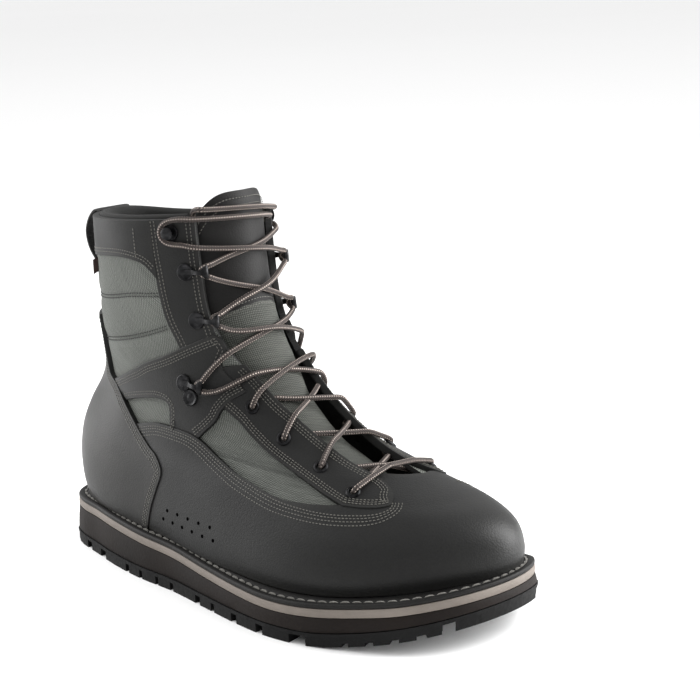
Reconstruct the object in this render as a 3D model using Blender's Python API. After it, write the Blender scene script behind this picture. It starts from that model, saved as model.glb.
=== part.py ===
# Wading boot, right foot, lateral side towards -Y and toe towards +X, in metres.
# Heights in the upper are shares of UPPER_HEIGHT above the welt, lengths are shares of SOLE_LENGTH
# from the heel, and widths are shares of BALL_WIDTH.
import math

import bpy
import bmesh
from mathutils import Matrix, Vector

# Driving sizes of the last and the sole
SOLE_LENGTH = 0.312
BALL_WIDTH = 0.117
UPPER_HEIGHT = 0.171
HEEL_STACK = 0.0267
BALL_STACK = 0.0193
TOE_TOP_RISE = 0.012
TOE_SPRING = 0.015
SPRING_START = 0.74
SPRING_POWER = 1.7

# Sole layers, from the ground up
TREAD = 0.0070
LUG_DEPTH = 0.0050
LUG_BAND = 0.0165
STUD_RADIUS = 0.0044
STRIPE = 0.0045
WELT = 0.0028
WELT_LEDGE = 0.012
MIDSOLE_FLARE = 0.0012
TREAD_FLARE = 0.0018
LUG_INSET = 0.0003
SPLIT = 0.0015

# Walls, pads and trim
WALL = 0.0023
OVERLAY = 0.0014
GAP = 0.0003
OVERLAY_GAP = 0.00045
OVERLAY_OUT = OVERLAY_GAP + OVERLAY
LINING_GAP = 0.0008
INSOLE = 0.0024
TONGUE = 0.0035
PADDING = 0.0040
EYELET_RADIUS = 0.0041
EYELET_HOLE = 0.0022
EYELET_HEIGHT = 0.0010
EYELET_SEAT = 0.0006
EYELET_SLOPE = 0.80
EYELET_FLARE = 1.15
HOOK_LENGTH = 0.0125
HOOK_RISE = 0.0042
HOOK_METAL = 0.0011
HOOK_WIDTH = 0.0040
LACE = 0.0028
LACE_CROSS = 0.0018
THROAT_SINK = 0.0030
LOOP_WIDTH = 0.024
LOOP_THICKNESS = 0.0015
LOOP_BULGE = 0.0085
TAG_LENGTH = 0.0095
TAG_REACH = 0.0060
TAG_THICKNESS = 0.0012

# Sole outline: share of length, then the lateral and the medial half width
OUTLINE = (
    (0.000, 0.000, 0.000),
    (0.006, 0.100, 0.100),
    (0.030, 0.205, 0.210),
    (0.070, 0.265, 0.275),
    (0.130, 0.310, 0.315),
    (0.200, 0.365, 0.290),
    (0.300, 0.418, 0.240),
    (0.400, 0.440, 0.222),
    (0.500, 0.490, 0.275),
    (0.600, 0.538, 0.355),
    (0.680, 0.558, 0.420),
    (0.760, 0.530, 0.455),
    (0.840, 0.448, 0.470),
    (0.900, 0.368, 0.460),
    (0.950, 0.250, 0.410),
    (0.980, 0.130, 0.320),
    (1.000, -0.100, 0.100),
)

# Height of the stripe's top: share of length, share of the heel stack, of the ball stack, of the toe's rise
TOP_LINE = (
    (0.00, 1.00, 0.00, 0.00),
    (0.18, 1.00, 0.00, 0.00),
    (0.35, 0.70, 0.30, 0.00),
    (0.55, 0.15, 0.85, 0.00),
    (0.72, 0.00, 1.00, 0.00),
    (0.88, 0.00, 1.00, 0.38),
    (1.00, 0.00, 1.00, 1.00),
)

# Slices of the upper, feather edge to collar: front length, front height, back length, back height,
# sideways shift of the front, and how far the slice follows the sole's curve
PROFILE = (
    (0.976, 0.000, 0.0230, 0.000, 0.140, 1.0),
    (0.979, 0.053, 0.0130, 0.065, 0.140, 0.9),
    (0.967, 0.120, 0.0090, 0.157, 0.135, 0.6),
    (0.930, 0.177, 0.0170, 0.253, 0.125, 0.3),
    (0.871, 0.221, 0.0400, 0.340, 0.110, 0.1),
    (0.796, 0.276, 0.0720, 0.421, 0.085, 0.0),
    (0.703, 0.356, 0.0900, 0.497, 0.060, 0.0),
    (0.614, 0.460, 0.0900, 0.574, 0.040, 0.0),
    (0.546, 0.586, 0.0860, 0.655, 0.020, 0.0),
    (0.502, 0.737, 0.0860, 0.747, 0.000, 0.0),
    (0.481, 0.910, 0.0900, 0.869, 0.000, 0.0),
    (0.470, 1.067, 0.0920, 1.000, 0.000, 0.0),
)
SHAFT_SHIFT = 0.02

# Half widths of the same slices at five places from the back to the front
WIDTH_STATIONS = (0.0, 0.3, 0.55, 0.8, 1.0)
LATERAL = (
    (0.430, 0.400, 0.490, 0.600, 0.560),
    (0.460, 0.410, 0.492, 0.610, 0.570),
    (0.460, 0.400, 0.460, 0.560, 0.550),
    (0.430, 0.377, 0.415, 0.470, 0.500),
    (0.380, 0.350, 0.360, 0.390, 0.450),
    (0.340, 0.330, 0.330, 0.330, 0.390),
    (0.325, 0.320, 0.314, 0.300, 0.345),
    (0.318, 0.318, 0.310, 0.297, 0.325),
    (0.318, 0.320, 0.312, 0.303, 0.325),
    (0.322, 0.327, 0.325, 0.317, 0.335),
    (0.328, 0.335, 0.335, 0.327, 0.340),
    (0.335, 0.340, 0.340, 0.335, 0.345),
)
MEDIAL = (
    (0.450, 0.250, 0.270, 0.440, 0.580),
    (0.460, 0.270, 0.290, 0.460, 0.585),
    (0.445, 0.305, 0.320, 0.435, 0.560),
    (0.410, 0.320, 0.330, 0.390, 0.500),
    (0.370, 0.322, 0.325, 0.350, 0.440),
    (0.340, 0.322, 0.320, 0.315, 0.370),
    (0.320, 0.315, 0.312, 0.290, 0.325),
    (0.310, 0.310, 0.305, 0.290, 0.315),
    (0.310, 0.315, 0.310, 0.300, 0.325),
    (0.320, 0.325, 0.325, 0.315, 0.335),
    (0.330, 0.335, 0.335, 0.325, 0.340),
    (0.335, 0.340, 0.340, 0.335, 0.345),
)

# Throat opening: share up the upper, half its width as a share of the way around
THROAT = (
    (0.405, 0.000),
    (0.420, 0.030),
    (0.450, 0.048),
    (0.500, 0.060),
    (0.560, 0.068),
    (0.640, 0.080),
    (0.700, 0.096),
    (0.760, 0.118),
    (0.820, 0.128),
    (1.000, 0.125),
)
UPPER_ROWS = (0.0, 0.05, 0.10, 0.16, 0.22, 0.28, 0.34, 0.405, 0.42, 0.45, 0.50, 0.56,
              0.62, 0.68, 0.74, 0.80, 0.87, 0.94, 1.0)
UPPER_COLUMNS = 40
# Share around from which the columns no longer follow the throat
FIXED_COLUMNS = 0.28
# Lift of an overlay above the feather edge and gap between two overlays, as shares
EDGE_LIFT = 0.006
SEAM = 0.004
SOLE_STATIONS = 30
EYELET_SIDES = 8
STUD_SIDES = 6
# Places on the upper nearer than this are one place
WELD = 100000

# Overlay edges as (share around, share up) or (share up, share around)
COUNTER_EDGE = (
    (0.000, 0.319),
    (0.115, 0.308),
    (0.190, 0.300),
    (0.265, 0.294),
    (0.320, 0.308),
    (0.395, 0.328),
    (0.465, 0.353),
    (0.500, 0.368),
)
# Backstay above the counter: share around of its edge, share up of its top
BACKSTAY_EDGE = 0.425
BACKSTAY_TOP = 0.74
VAMP_TOP = (
    (0.00, 0.392),
    (0.10, 0.390),
    (0.20, 0.366),
    (0.28, 0.318),
    (0.35, 0.288),
    (0.42, 0.278),
    (0.52, 0.284),
    (0.62, 0.300),
    (0.69, 0.345),
    (0.735, 0.440),
    (0.79, 0.450),
    (0.87, 0.436),
    (1.00, 0.388),
)
COLLAR_LOW = (
    (0.208, 0.893),
    (0.239, 0.918),
    (0.290, 0.922),
    (0.360, 0.914),
    (0.500, 0.905),
)
SHAFT_STAY = (
    (0.795, 0.200),
    (0.870, 0.203),
    (0.990, 0.203),
)
SHAFT_STAY_LOW = (0.802, 0.760)
SHAFT_STAY_TOP = 0.99
# Collar band and the padding inside it
COLLAR_START = 0.209
COLLAR_TOP = 0.985
COLLAR_COLUMNS = 22
PADDING_START = 0.15
PADDING_LOW = 0.90
# Tongue: share up of its ends, and its half width low and high as shares around
TONGUE_LOW = 0.37
TONGUE_TOP = 1.05
TONGUE_CORNER = 0.06
TONGUE_HALF = ((0.37, 0.055), (0.42, 0.060), (0.75, 0.140), (1.10, 0.140))
SINK = ((0.37, 0.0), (0.50, 0.0), (0.68, 1.0), (1.10, 1.0))
# Rows of a panel: front edge around, front edge up, back edge around, back edge up
LOWER_STAY = (
    (0.106, 0.722, 0.176, 0.664),
    (0.092, 0.680, 0.186, 0.606),
    (0.082, 0.630, 0.176, 0.590),
    (0.070, 0.565, 0.178, 0.540),
    (0.063, 0.515, 0.175, 0.485),
    (0.056, 0.475, 0.164, 0.425),
    (0.056, 0.440, 0.150, 0.360),
    (0.068, 0.398, 0.147, 0.325),
    (0.094, 0.345, 0.140, 0.305),
)
# Rows of the strap: top edge around, top edge up, lower edge around, lower edge up
ANKLE_STRAP = (
    (0.374, 0.562, 0.350, 0.500),
    (0.328, 0.600, 0.318, 0.530),
    (0.284, 0.660, 0.284, 0.560),
    (0.240, 0.706, 0.240, 0.596),
    (0.196, 0.746, 0.204, 0.654),
    (0.160, 0.772, 0.168, 0.706),
    (0.132, 0.784, 0.136, 0.744),
)
STRAP_LEG_ROWS = (2, 3)
STRAP_LEG_FOOT = ((0.288, 0.466), (0.260, 0.472))

# Eyelets from the toe up and hooks from the ankle up: share around, share up
EYELET_PLACES = ((0.117, 0.385), (0.122, 0.480), (0.131, 0.560), (0.136, 0.635))
HOOK_PLACES = ((0.205, 0.672), (0.152, 0.815), (0.154, 0.900), (0.168, 0.972))
# A hook from its plate to its tip: shares of its length and of its rise
HOOK_PATH = ((-0.38, 0.0), (0.30, 0.0), (0.52, 0.22), (0.60, 0.55), (0.50, 0.90), (0.20, 1.0))
# Turns of the lace, from the toe up: share around, share up
LACE_TURNS = ((0.036, 0.454), (0.046, 0.500), (0.058, 0.572), (0.066, 0.640), (0.080, 0.700),
              (0.112, 0.815), (0.114, 0.895), (0.113, 0.968))
LACE_STEPS = 4
# Pull loop and side tag at the back of the collar: shares up, and around for the tag
LOOP_LOW, LOOP_TOP = 0.88, 0.99
LOOP_FOOT, LOOP_STEPS, LOOP_FULLNESS = 0.12, 8, 0.8
TAG_PLACE = (0.40, 0.875)

# Tread: shares of length where the lugs begin and end along each side
LATERAL_LUGS = (
    (0.108, 0.149), (0.172, 0.252), (0.264, 0.299), (0.308, 0.348), (0.356, 0.391),
    (0.401, 0.474), (0.489, 0.524), (0.534, 0.586), (0.601, 0.654), (0.670, 0.727),
    (0.758, 0.818), (0.828, 0.854), (0.867, 0.891), (0.903, 0.925), (0.937, 0.953),
)
MEDIAL_LUGS = (
    (0.130, 0.220), (0.230, 0.264), (0.280, 0.323), (0.331, 0.375), (0.383, 0.438),
    (0.476, 0.506), (0.514, 0.554), (0.562, 0.602), (0.612, 0.654), (0.664, 0.706),
    (0.722, 0.762), (0.773, 0.810), (0.820, 0.855),
)
# Blocks under the heel and the toe: side, share of length where they begin and end
END_BLOCKS = (
    (-1, 0.012, 0.090),
    (1, 0.012, 0.105),
    (-1, 0.966, 0.988),
    (1, 0.872, 0.988),
)
BLOCK_STEPS = 4
# Studs: share of length, then shares of the way across from the medial edge
STUD_ROWS = (
    (0.125, 0.46),
    (0.168, 0.41, 0.68),
    (0.225, 0.46, 0.69),
    (0.262, 0.36, 0.74),
    (0.304, 0.47, 0.65),
    (0.434, 0.40, 0.72),
    (0.485, 0.36, 0.72),
    (0.526, 0.48, 0.62),
    (0.560, 0.33),
    (0.588, 0.47, 0.64, 0.78),
    (0.622, 0.27, 0.40),
    (0.646, 0.56, 0.74),
    (0.680, 0.25, 0.42),
    (0.704, 0.62),
    (0.742, 0.30, 0.48, 0.76),
    (0.784, 0.27, 0.66),
    (0.812, 0.43),
    (0.836, 0.64),
)

RUBBER_BLACK = (0.018, 0.018, 0.019, 1.0)
RUBBER_BROWN = (0.040, 0.031, 0.027, 1.0)
RUBBER_GREIGE = (0.36, 0.32, 0.28, 1.0)
LEATHER = (0.035, 0.035, 0.034, 1.0)
NYLON = (0.115, 0.130, 0.115, 1.0)
LINING = (0.012, 0.012, 0.012, 1.0)
METAL = (0.060, 0.060, 0.063, 1.0)
CORD = (0.085, 0.070, 0.062, 1.0)
TAG_BROWN = (0.050, 0.025, 0.018, 1.0)


def clear_scene():
    """Remove every object, so that the script can run again."""
    for item in list(bpy.data.objects):
        bpy.data.objects.remove(item, do_unlink=True)


def make_material(name, colour, roughness, metallic=0.0):
    """A plain Principled material."""
    material = bpy.data.materials.new(name)
    material.use_nodes = True
    shader = material.node_tree.nodes["Principled BSDF"]
    shader.inputs["Base Color"].default_value = colour
    shader.inputs["Roughness"].default_value = roughness
    shader.inputs["Metallic"].default_value = metallic
    return material


def smooth_at(table, column, at):
    """Smooth value of one column of a table whose first column is the station."""
    last = len(table) - 1
    low = 0
    while low < last - 1 and table[low + 1][0] < at:
        low += 1
    stations = [row[0] for row in table]
    values = [row[column] for row in table]
    span = stations[low + 1] - stations[low]

    def slope(i):
        a, b = max(i - 1, 0), min(i + 1, last)
        return (values[b] - values[a]) / (stations[b] - stations[a])

    u = (at - stations[low]) / span
    start, end = slope(low) * span, slope(low + 1) * span
    return ((2 * u ** 3 - 3 * u ** 2 + 1) * values[low] + (u ** 3 - 2 * u ** 2 + u) * start
            + (3 * u ** 2 - 2 * u ** 3) * values[low + 1] + (u ** 3 - u ** 2) * end)


def straight_at(table, column, at):
    """Value of one column by straight runs between the stations."""
    for low, high in zip(table, table[1:]):
        if at <= high[0]:
            break
    share = (at - low[0]) / (high[0] - low[0])
    return low[column] + (high[column] - low[column]) * share


# Each table again with its station in front, for smooth_at
OUTLINE_BY_TURN = tuple((math.acos(1 - 2 * s), lateral, medial) for s, lateral, medial in OUTLINE)
SLICES = tuple((k,) + row for k, row in enumerate(PROFILE))
LATERAL_SLICES = tuple((k,) + row for k, row in enumerate(LATERAL))
MEDIAL_SLICES = tuple((k,) + row for k, row in enumerate(MEDIAL))


def stripe_top(x):
    """Height of the stripe's top face."""
    share = min(max(x / SOLE_LENGTH, 0.0), 1.0)
    return (smooth_at(TOP_LINE, 1, share) * HEEL_STACK + smooth_at(TOP_LINE, 2, share) * BALL_STACK
            + smooth_at(TOP_LINE, 3, share) * TOE_TOP_RISE)


def ground_line(x):
    """Height of the tread's bottom: on the ground, then lifting towards the toe."""
    lift = (x / SOLE_LENGTH - SPRING_START) / (1 - SPRING_START)
    return TOE_SPRING * max(lift, 0.0) ** SPRING_POWER


def seat_height(x):
    """Height at which the upper starts, just above the welt."""
    return stripe_top(x) + WELT + GAP


def outline_point(share, side, out=0.0):
    """Point of the sole's outline in plan: side -1 lateral, 1 medial, moved outwards by out."""
    turn = math.acos(1 - 2 * min(max(share, 0.0), 1.0))
    column = 1 if side < 0 else 2

    def at(angle):
        angle = min(max(angle, 0.0), math.pi)
        width = smooth_at(OUTLINE_BY_TURN, column, angle)
        return Vector(((1 - math.cos(angle)) / 2 * SOLE_LENGTH, side * width * BALL_WIDTH))

    step = 0.01
    along = at(turn + step) - at(turn - step)
    normal = Vector((along.y, -along.x)).normalized() * -side
    return at(turn) + normal * out


def upper_point(around, up, out=0.0):
    """Point of the upper's outer face, moved outwards by out: around 0 at the front, 0.5 at the heel."""
    if out:
        step = 0.004
        a, b = upper_point(around - step, up), upper_point(around + step, up)
        c, d = upper_point(around, up - step), upper_point(around, up + step)
        normal = (d - c).cross(b - a).normalized()
        return upper_point(around, up) + normal * out
    slice_at = up * (len(PROFILE) - 1)
    front_x, front_z, back_x, back_z, shift, follow = (
        smooth_at(SLICES, column, slice_at) for column in range(1, 7))
    angle = 2 * math.pi * around
    t = (1 + math.cos(angle)) / 2
    sideways = math.sin(angle)
    table = LATERAL_SLICES if sideways >= 0 else MEDIAL_SLICES
    row = tuple((s, smooth_at(table, k + 1, slice_at)) for k, s in enumerate(WIDTH_STATIONS))
    half_width = smooth_at(row, 1, t) * abs(sideways) * BALL_WIDTH
    back, front = back_x * SOLE_LENGTH, front_x * SOLE_LENGTH
    x = back + (front - back) * t
    low, high = seat_height(back), seat_height(front)
    chord = low + (high - low) * t
    z = (chord + (back_z + (front_z - back_z) * t) * UPPER_HEIGHT + follow * (seat_height(x) - chord))
    centre = (shift * t * t + SHAFT_SHIFT * up) * BALL_WIDTH
    return Vector((x, centre + (-half_width if sideways >= 0 else half_width), z))


def throat_half(up):
    """Half the throat's opening as a share of the way around."""
    if up <= THROAT[0][0]:
        return 0.0
    return straight_at(THROAT, 1, min(up, 1.0))


def column_around(k, up):
    """Share around of a column: evenly spaced, and pushed back beside the throat."""
    around = k / UPPER_COLUMNS
    near = min(abs(around), 1 - around)
    if near < FIXED_COLUMNS:
        half = throat_half(up)
        near = half + near * (FIXED_COLUMNS - half) / FIXED_COLUMNS
    if around > 0.5:
        return 1 - near
    return near if around >= 0 else -near


def add_object(name, mesh, material):
    """Link a mesh as a part of the boot."""
    part = bpy.data.objects.new(name, mesh)
    mesh.materials.append(material)
    BOOT.objects.link(part)
    part.parent = ROOT
    mesh.shade_smooth()
    mesh.set_sharp_from_angle(angle=math.radians(40))
    return part


def finish_mesh(bm, name):
    """Weld, turn the faces outwards and make a mesh."""
    bmesh.ops.remove_doubles(bm, verts=bm.verts, dist=0.00001)
    bmesh.ops.recalc_face_normals(bm, faces=bm.faces)
    mesh = bpy.data.meshes.new(name)
    bm.to_mesh(mesh)
    bm.free()
    return mesh


def add_wall(name, grids, thickness, material):
    """A panel on the upper, thickened inwards: grids of places (around, up, out), one body where they meet."""
    bm = bmesh.new()
    numbers, outer, inner, edges = {}, [], [], set()

    def vertex_at(around, up, out):
        key = (round(around * WELD) % WELD, round(up * WELD))
        if key not in numbers:
            numbers[key] = len(outer)
            outer.append(bm.verts.new(upper_point(around, up, out)))
            inner.append(bm.verts.new(upper_point(around, up, out - thickness)))
        return numbers[key]

    for grid in grids:
        rows = [[vertex_at(*place) for place in row] for row in grid]
        for low, high in zip(rows, rows[1:]):
            for k in range(len(low) - 1):
                corners = list(dict.fromkeys((low[k], high[k], high[k + 1], low[k + 1])))
                for a, b, c in [(corners[0],) + pair for pair in zip(corners[1:], corners[2:])]:
                    bm.faces.new((outer[a], outer[b], outer[c]))
                    bm.faces.new((inner[c], inner[b], inner[a]))
                    edges.update(((a, b), (b, c), (c, a)))
    for a, b in sorted(edges):
        if (b, a) not in edges:
            bm.faces.new((outer[b], outer[a], inner[a], inner[b]))
    return add_object(name, finish_mesh(bm, name), material)


def shares(count, start=0.0, end=1.0):
    """Evenly spaced numbers from start to end."""
    return [start + (end - start) * k / count for k in range(count + 1)]


def panel_places(table, steps, across, side):
    """Places of a panel given by its two edges, row by row; side 1 lateral, -1 medial."""
    stations = tuple((k,) + row for k, row in enumerate(table))
    places = []
    for at in shares(steps * (len(table) - 1), 0, len(table) - 1):
        a, b, c, d = (straight_at(stations, column, at) for column in range(1, 5))
        places.append([(side * (a + (c - a) * t), b + (d - b) * t, OVERLAY_OUT) for t in shares(across)])
    return places


def make_layer(name, out_low, out_high, low_at, high_at, material):
    """A sole layer over the whole outline between two heights that depend on x."""
    bm = bmesh.new()
    turns = [math.pi * (k + 0.5) / SOLE_STATIONS for k in range(SOLE_STATIONS)]
    loops = []
    for out, height_at in ((out_low, low_at), (out_high, high_at)):
        pairs = []
        for turn in turns:
            share = (1 - math.cos(turn)) / 2
            pair = []
            for side in (-1, 1):
                p = outline_point(share, side, out)
                pair.append(bm.verts.new((p.x, p.y, height_at(p.x))))
            pairs.append(pair)
        loops.append(pairs)
    for pairs in loops:
        for low, high in zip(pairs, pairs[1:]):
            bm.faces.new((low[0], high[0], high[1], low[1]))
    rings = [[pair[0] for pair in pairs] + [pair[1] for pair in reversed(pairs)] for pairs in loops]
    for k in range(len(rings[0])):
        n = (k + 1) % len(rings[0])
        bm.faces.new((rings[0][k], rings[0][n], rings[1][n], rings[1][k]))
    return add_object(name, finish_mesh(bm, name), material)


def make_block(bm, corners, low_at, high_at):
    """A block over a closed outline in plan, between two heights that depend on x."""
    low = [bm.verts.new((p.x, p.y, low_at(p.x))) for p in corners]
    high = [bm.verts.new((p.x, p.y, high_at(p.x))) for p in corners]
    bm.faces.new(low)
    bm.faces.new(high)
    for k in range(len(corners)):
        n = (k + 1) % len(corners)
        bm.faces.new((low[k], low[n], high[n], high[k]))


def plate_low(x):
    """Underside of the tread's plate."""
    return ground_line(x) + LUG_DEPTH


def lug_root(x):
    """Where a lug ends inside the plate."""
    return plate_low(x) + (TREAD - LUG_DEPTH) / 2


def across_point(share, way):
    """Point under the sole, way from the medial edge (0) to the lateral edge (1)."""
    medial, lateral = outline_point(share, 1), outline_point(share, -1)
    return medial + (lateral - medial) * way


def end_block(bm, start, end, side):
    """Half of the heel's or the toe's block, parted along the middle by a split."""
    steps = shares(BLOCK_STEPS, start, end)
    rim = [outline_point(s, side, TREAD_FLARE - LUG_INSET) for s in steps]
    middle = [across_point(s, 0.5) + Vector((0, side * SPLIT / 2)) for s in reversed(steps)]
    make_block(bm, rim + middle, ground_line, lug_root)


def make_outsole(material):
    """Plate, perimeter lugs, heel and toe blocks and round studs as one body."""
    plate = make_layer("outsole", TREAD_FLARE, TREAD_FLARE, plate_low,
                       lambda x: ground_line(x) + TREAD, material)
    bm = bmesh.new()
    for side, lugs in ((-1, LATERAL_LUGS), (1, MEDIAL_LUGS)):
        for start, end in lugs:
            steps = shares(2, start, end)
            rim = [outline_point(s, side, TREAD_FLARE - LUG_INSET) for s in steps]
            inner = [outline_point(s, side, -LUG_BAND) for s in reversed(steps)]
            make_block(bm, rim + inner, ground_line, lug_root)
    for side, start, end in END_BLOCKS:
        end_block(bm, start, end, side)
    for row in STUD_ROWS:
        for way in row[1:]:
            centre = across_point(row[0], way)
            rim = [centre + Vector((math.cos(a), math.sin(a))) * STUD_RADIUS
                   for a in (2 * math.pi * k / STUD_SIDES for k in range(STUD_SIDES))]
            make_block(bm, rim, ground_line, lug_root)
    cutter = bpy.data.objects.new("lug_blocks", finish_mesh(bm, "lug_blocks"))
    GUIDES.objects.link(cutter)
    cutter.parent = ROOT
    cutter.hide_render = True
    cutter.display_type = "WIRE"
    join = plate.modifiers.new("lugs", "BOOLEAN")
    join.operation = "UNION"
    join.object = cutter
    join.solver = "EXACT"
    join.use_self = True


def midsole_low(x):
    """Underside of the midsole, just above the tread."""
    return ground_line(x) + TREAD + GAP


def stripe_low(x):
    """Underside of the stripe."""
    return stripe_top(x) - STRIPE


def make_ring(name, outer, inner, low_at, high_at, material):
    """A flat ring between two closed outlines with the same number of points."""
    bm = bmesh.new()
    loops = []
    for points, height_at in ((outer, low_at), (outer, high_at), (inner, high_at), (inner, low_at)):
        loops.append([bm.verts.new((p.x, p.y, height_at(p.x))) for p in points])
    loops.append(loops[0])
    for a, b in zip(loops, loops[1:]):
        for k in range(len(a)):
            n = (k + 1) % len(a)
            bm.faces.new((a[k], a[n], b[n], b[k]))
    return add_object(name, finish_mesh(bm, name), material)


def sole_rim(out):
    """The sole's outline as one closed loop of points."""
    turns = [math.pi * (k + 0.5) / SOLE_STATIONS for k in range(SOLE_STATIONS)]
    lateral = [outline_point((1 - math.cos(t)) / 2, -1, out) for t in turns]
    medial = [outline_point((1 - math.cos(t)) / 2, 1, out) for t in reversed(turns)]
    return lateral + medial


def make_sole(materials):
    """The four layers of the sole and the insole."""
    make_outsole(materials["tread"])
    make_layer("midsole", MIDSOLE_FLARE, 0.0, midsole_low, lambda x: stripe_low(x) - GAP, materials["midsole"])
    make_layer("midsole_stripe", 0.0, 0.0, stripe_low, stripe_top, materials["stripe"])
    make_ring("welt", sole_rim(0.0), sole_rim(-WELT_LEDGE), lambda x: stripe_top(x) + GAP,
              lambda x: stripe_top(x) + WELT, materials["welt"])
    make_layer("insole", -WELT_LEDGE - LINING_GAP, -WELT_LEDGE - LINING_GAP, lambda x: stripe_top(x) + GAP,
               lambda x: stripe_top(x) + GAP + INSOLE, materials["lining"])


def make_upper(material):
    """The hollow upper: open at the collar, along the throat and underneath."""
    places = [[(column_around(k, up), up, 0.0) for k in range(UPPER_COLUMNS + 1)] for up in UPPER_ROWS]
    add_wall("upper", [places], WALL, material)


def make_counter(material):
    """Heel counter with the narrow backstay above it."""
    shoulder = COUNTER_EDGE[-1][0]
    first = round(BACKSTAY_EDGE * UPPER_COLUMNS)
    heel, backstay = [], []
    for up in UPPER_ROWS:
        columns = [column_around(k, up) for k in range(UPPER_COLUMNS + 1)]
        if up <= shoulder:
            edge = straight_at(COUNTER_EDGE, 1, up)
            heel.append([(min(max(a, edge), 1 - edge), max(up, EDGE_LIFT), OVERLAY_OUT) for a in columns])
        if shoulder <= up <= BACKSTAY_TOP:
            backstay.append([(a, up, OVERLAY_OUT) for a in columns[first:UPPER_COLUMNS + 1 - first]])
    add_wall("heel_counter", [heel, backstay], OVERLAY, material)


def make_vamp(material):
    """Vamp over the toe, from counter to counter."""
    highest = max(top for _, top in VAMP_TOP)
    places = []
    for level in [up for up in UPPER_ROWS if up < highest] + [highest]:
        row = []
        for k in range(-UPPER_COLUMNS // 2, UPPER_COLUMNS // 2 + 1):
            around = k / UPPER_COLUMNS
            edge = straight_at(COUNTER_EDGE, 1, level) - SEAM
            top = straight_at(VAMP_TOP, 1, min(abs(around) / edge, 1.0))
            up = min(max(level, EDGE_LIFT), top)
            edge = straight_at(COUNTER_EDGE, 1, up) - SEAM
            row.append((min(max(around, -edge), edge), up, OVERLAY_OUT))
        places.append(row)
    add_wall("vamp", [places], OVERLAY, material)


def make_collar(leather, lining):
    """Leather band around the collar and the padding inside it."""
    band = []
    for rise in shares(1):
        row = []
        for around in shares(COLLAR_COLUMNS, COLLAR_START, 1 - COLLAR_START):
            low = straight_at(COLLAR_LOW, 1, min(around, 1 - around))
            row.append((around, low + (COLLAR_TOP - low) * rise, OVERLAY_OUT))
        band.append(row)
    add_wall("collar_band", [band], OVERLAY, leather)
    columns = shares(COLLAR_COLUMNS, PADDING_START, 1 - PADDING_START)
    pad = [[(around, up, -WALL - LINING_GAP) for around in columns] for up in shares(2, PADDING_LOW)]
    add_wall("collar_padding", [pad], PADDING, lining)


def make_stays(material):
    """Eyestays on the shaft and the instep, and the ankle straps, on both sides."""
    for side, word in ((1, "lateral"), (-1, "medial")):
        shaft = []
        for rise in shares(6):
            row = []
            for t in shares(4):
                low = SHAFT_STAY_LOW[0] + (SHAFT_STAY_LOW[1] - SHAFT_STAY_LOW[0]) * t
                up = low + (SHAFT_STAY_TOP - low) * rise
                front = throat_half(up)
                back = straight_at(SHAFT_STAY, 1, max(up, SHAFT_STAY[0][0]))
                row.append((side * (front + (back - front) * t), up, OVERLAY_OUT))
            shaft.append(row)
        add_wall("shaft_eyestay_" + word, [flip(shaft, side)], OVERLAY, material)
        lower = panel_places(LOWER_STAY, 1, 4, side)
        add_wall("instep_eyestay_" + word, [flip(lower, -side)], OVERLAY, material)
        steps = 2
        strap = panel_places(ANKLE_STRAP, steps, 3, side)
        first, last = (row * steps for row in STRAP_LEG_ROWS)
        top_a, top_b = ANKLE_STRAP[STRAP_LEG_ROWS[0]][2:], ANKLE_STRAP[STRAP_LEG_ROWS[1]][2:]
        foot_a, foot_b = STRAP_LEG_FOOT
        leg = []
        for k in range(first, last + 1):
            share = (k - first) / (last - first)
            top = [p + (q - p) * share for p, q in zip(top_a, top_b)]
            foot = [p + (q - p) * share for p, q in zip(foot_a, foot_b)]
            leg.append([(side * (top[0] + (foot[0] - top[0]) * t), top[1] + (foot[1] - top[1]) * t, OVERLAY_OUT)
                        for t in shares(3)])
        add_wall("ankle_strap_" + word, [flip(strap, -side), flip(leg, -side)], OVERLAY, material)


def flip(places, side):
    """Turn a grid of places around, so that its faces look outwards on either side."""
    return places if side > 0 else [list(reversed(row)) for row in places]


def sink_at(around, up):
    """How far the tongue and the laces lie flatter than the upper's own curve."""
    near = min(abs(around) / straight_at(TONGUE_HALF, 1, up), 1.0)
    return THROAT_SINK * straight_at(SINK, 1, up) * (1 - near ** 2)


def make_tongue(material):
    """Tongue inside the throat, rising above the collar."""
    places = []
    for rise in shares(10):
        row = []
        for c in shares(7, -1.0):
            up = TONGUE_LOW + (TONGUE_TOP - TONGUE_CORNER * c ** 4 - TONGUE_LOW) * rise
            around = c * straight_at(TONGUE_HALF, 1, up)
            row.append((around, up, -WALL - LINING_GAP - sink_at(around, up)))
        places.append(row)
    add_wall("tongue", [places], TONGUE, material)


def face_frame(around, up, out, towards):
    """Frame on the upper: Z out of the face, X in the face towards another place."""
    origin = upper_point(around, up, out)
    z = (upper_point(around, up, out + 0.001) - origin).normalized()
    x = upper_point(towards[0], towards[1], out) - origin
    x = (x - z * x.dot(z)).normalized()
    y = z.cross(x)
    matrix = Matrix((x, y, z)).transposed().to_4x4()
    matrix.translation = origin
    return matrix


def make_eyelet(name, matrix, material):
    """A turned ring seated on the eyestay."""
    bm = bmesh.new()
    profile = ((EYELET_HOLE, 0.0), (EYELET_RADIUS, 0.0), (EYELET_RADIUS * EYELET_SLOPE, EYELET_HEIGHT),
               (EYELET_HOLE * EYELET_FLARE, EYELET_HEIGHT))
    turns = [2 * math.pi * k / EYELET_SIDES for k in range(EYELET_SIDES)]
    rings = [[bm.verts.new((radius * math.cos(turn), radius * math.sin(turn), height)) for turn in turns]
             for radius, height in profile]
    rings.append(rings[0])
    for a, b in zip(rings, rings[1:]):
        for k in range(EYELET_SIDES):
            n = (k + 1) % EYELET_SIDES
            bm.faces.new((a[k], a[n], b[n], b[k]))
    part = add_object(name, finish_mesh(bm, name), material)
    part.matrix_basis = matrix


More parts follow.
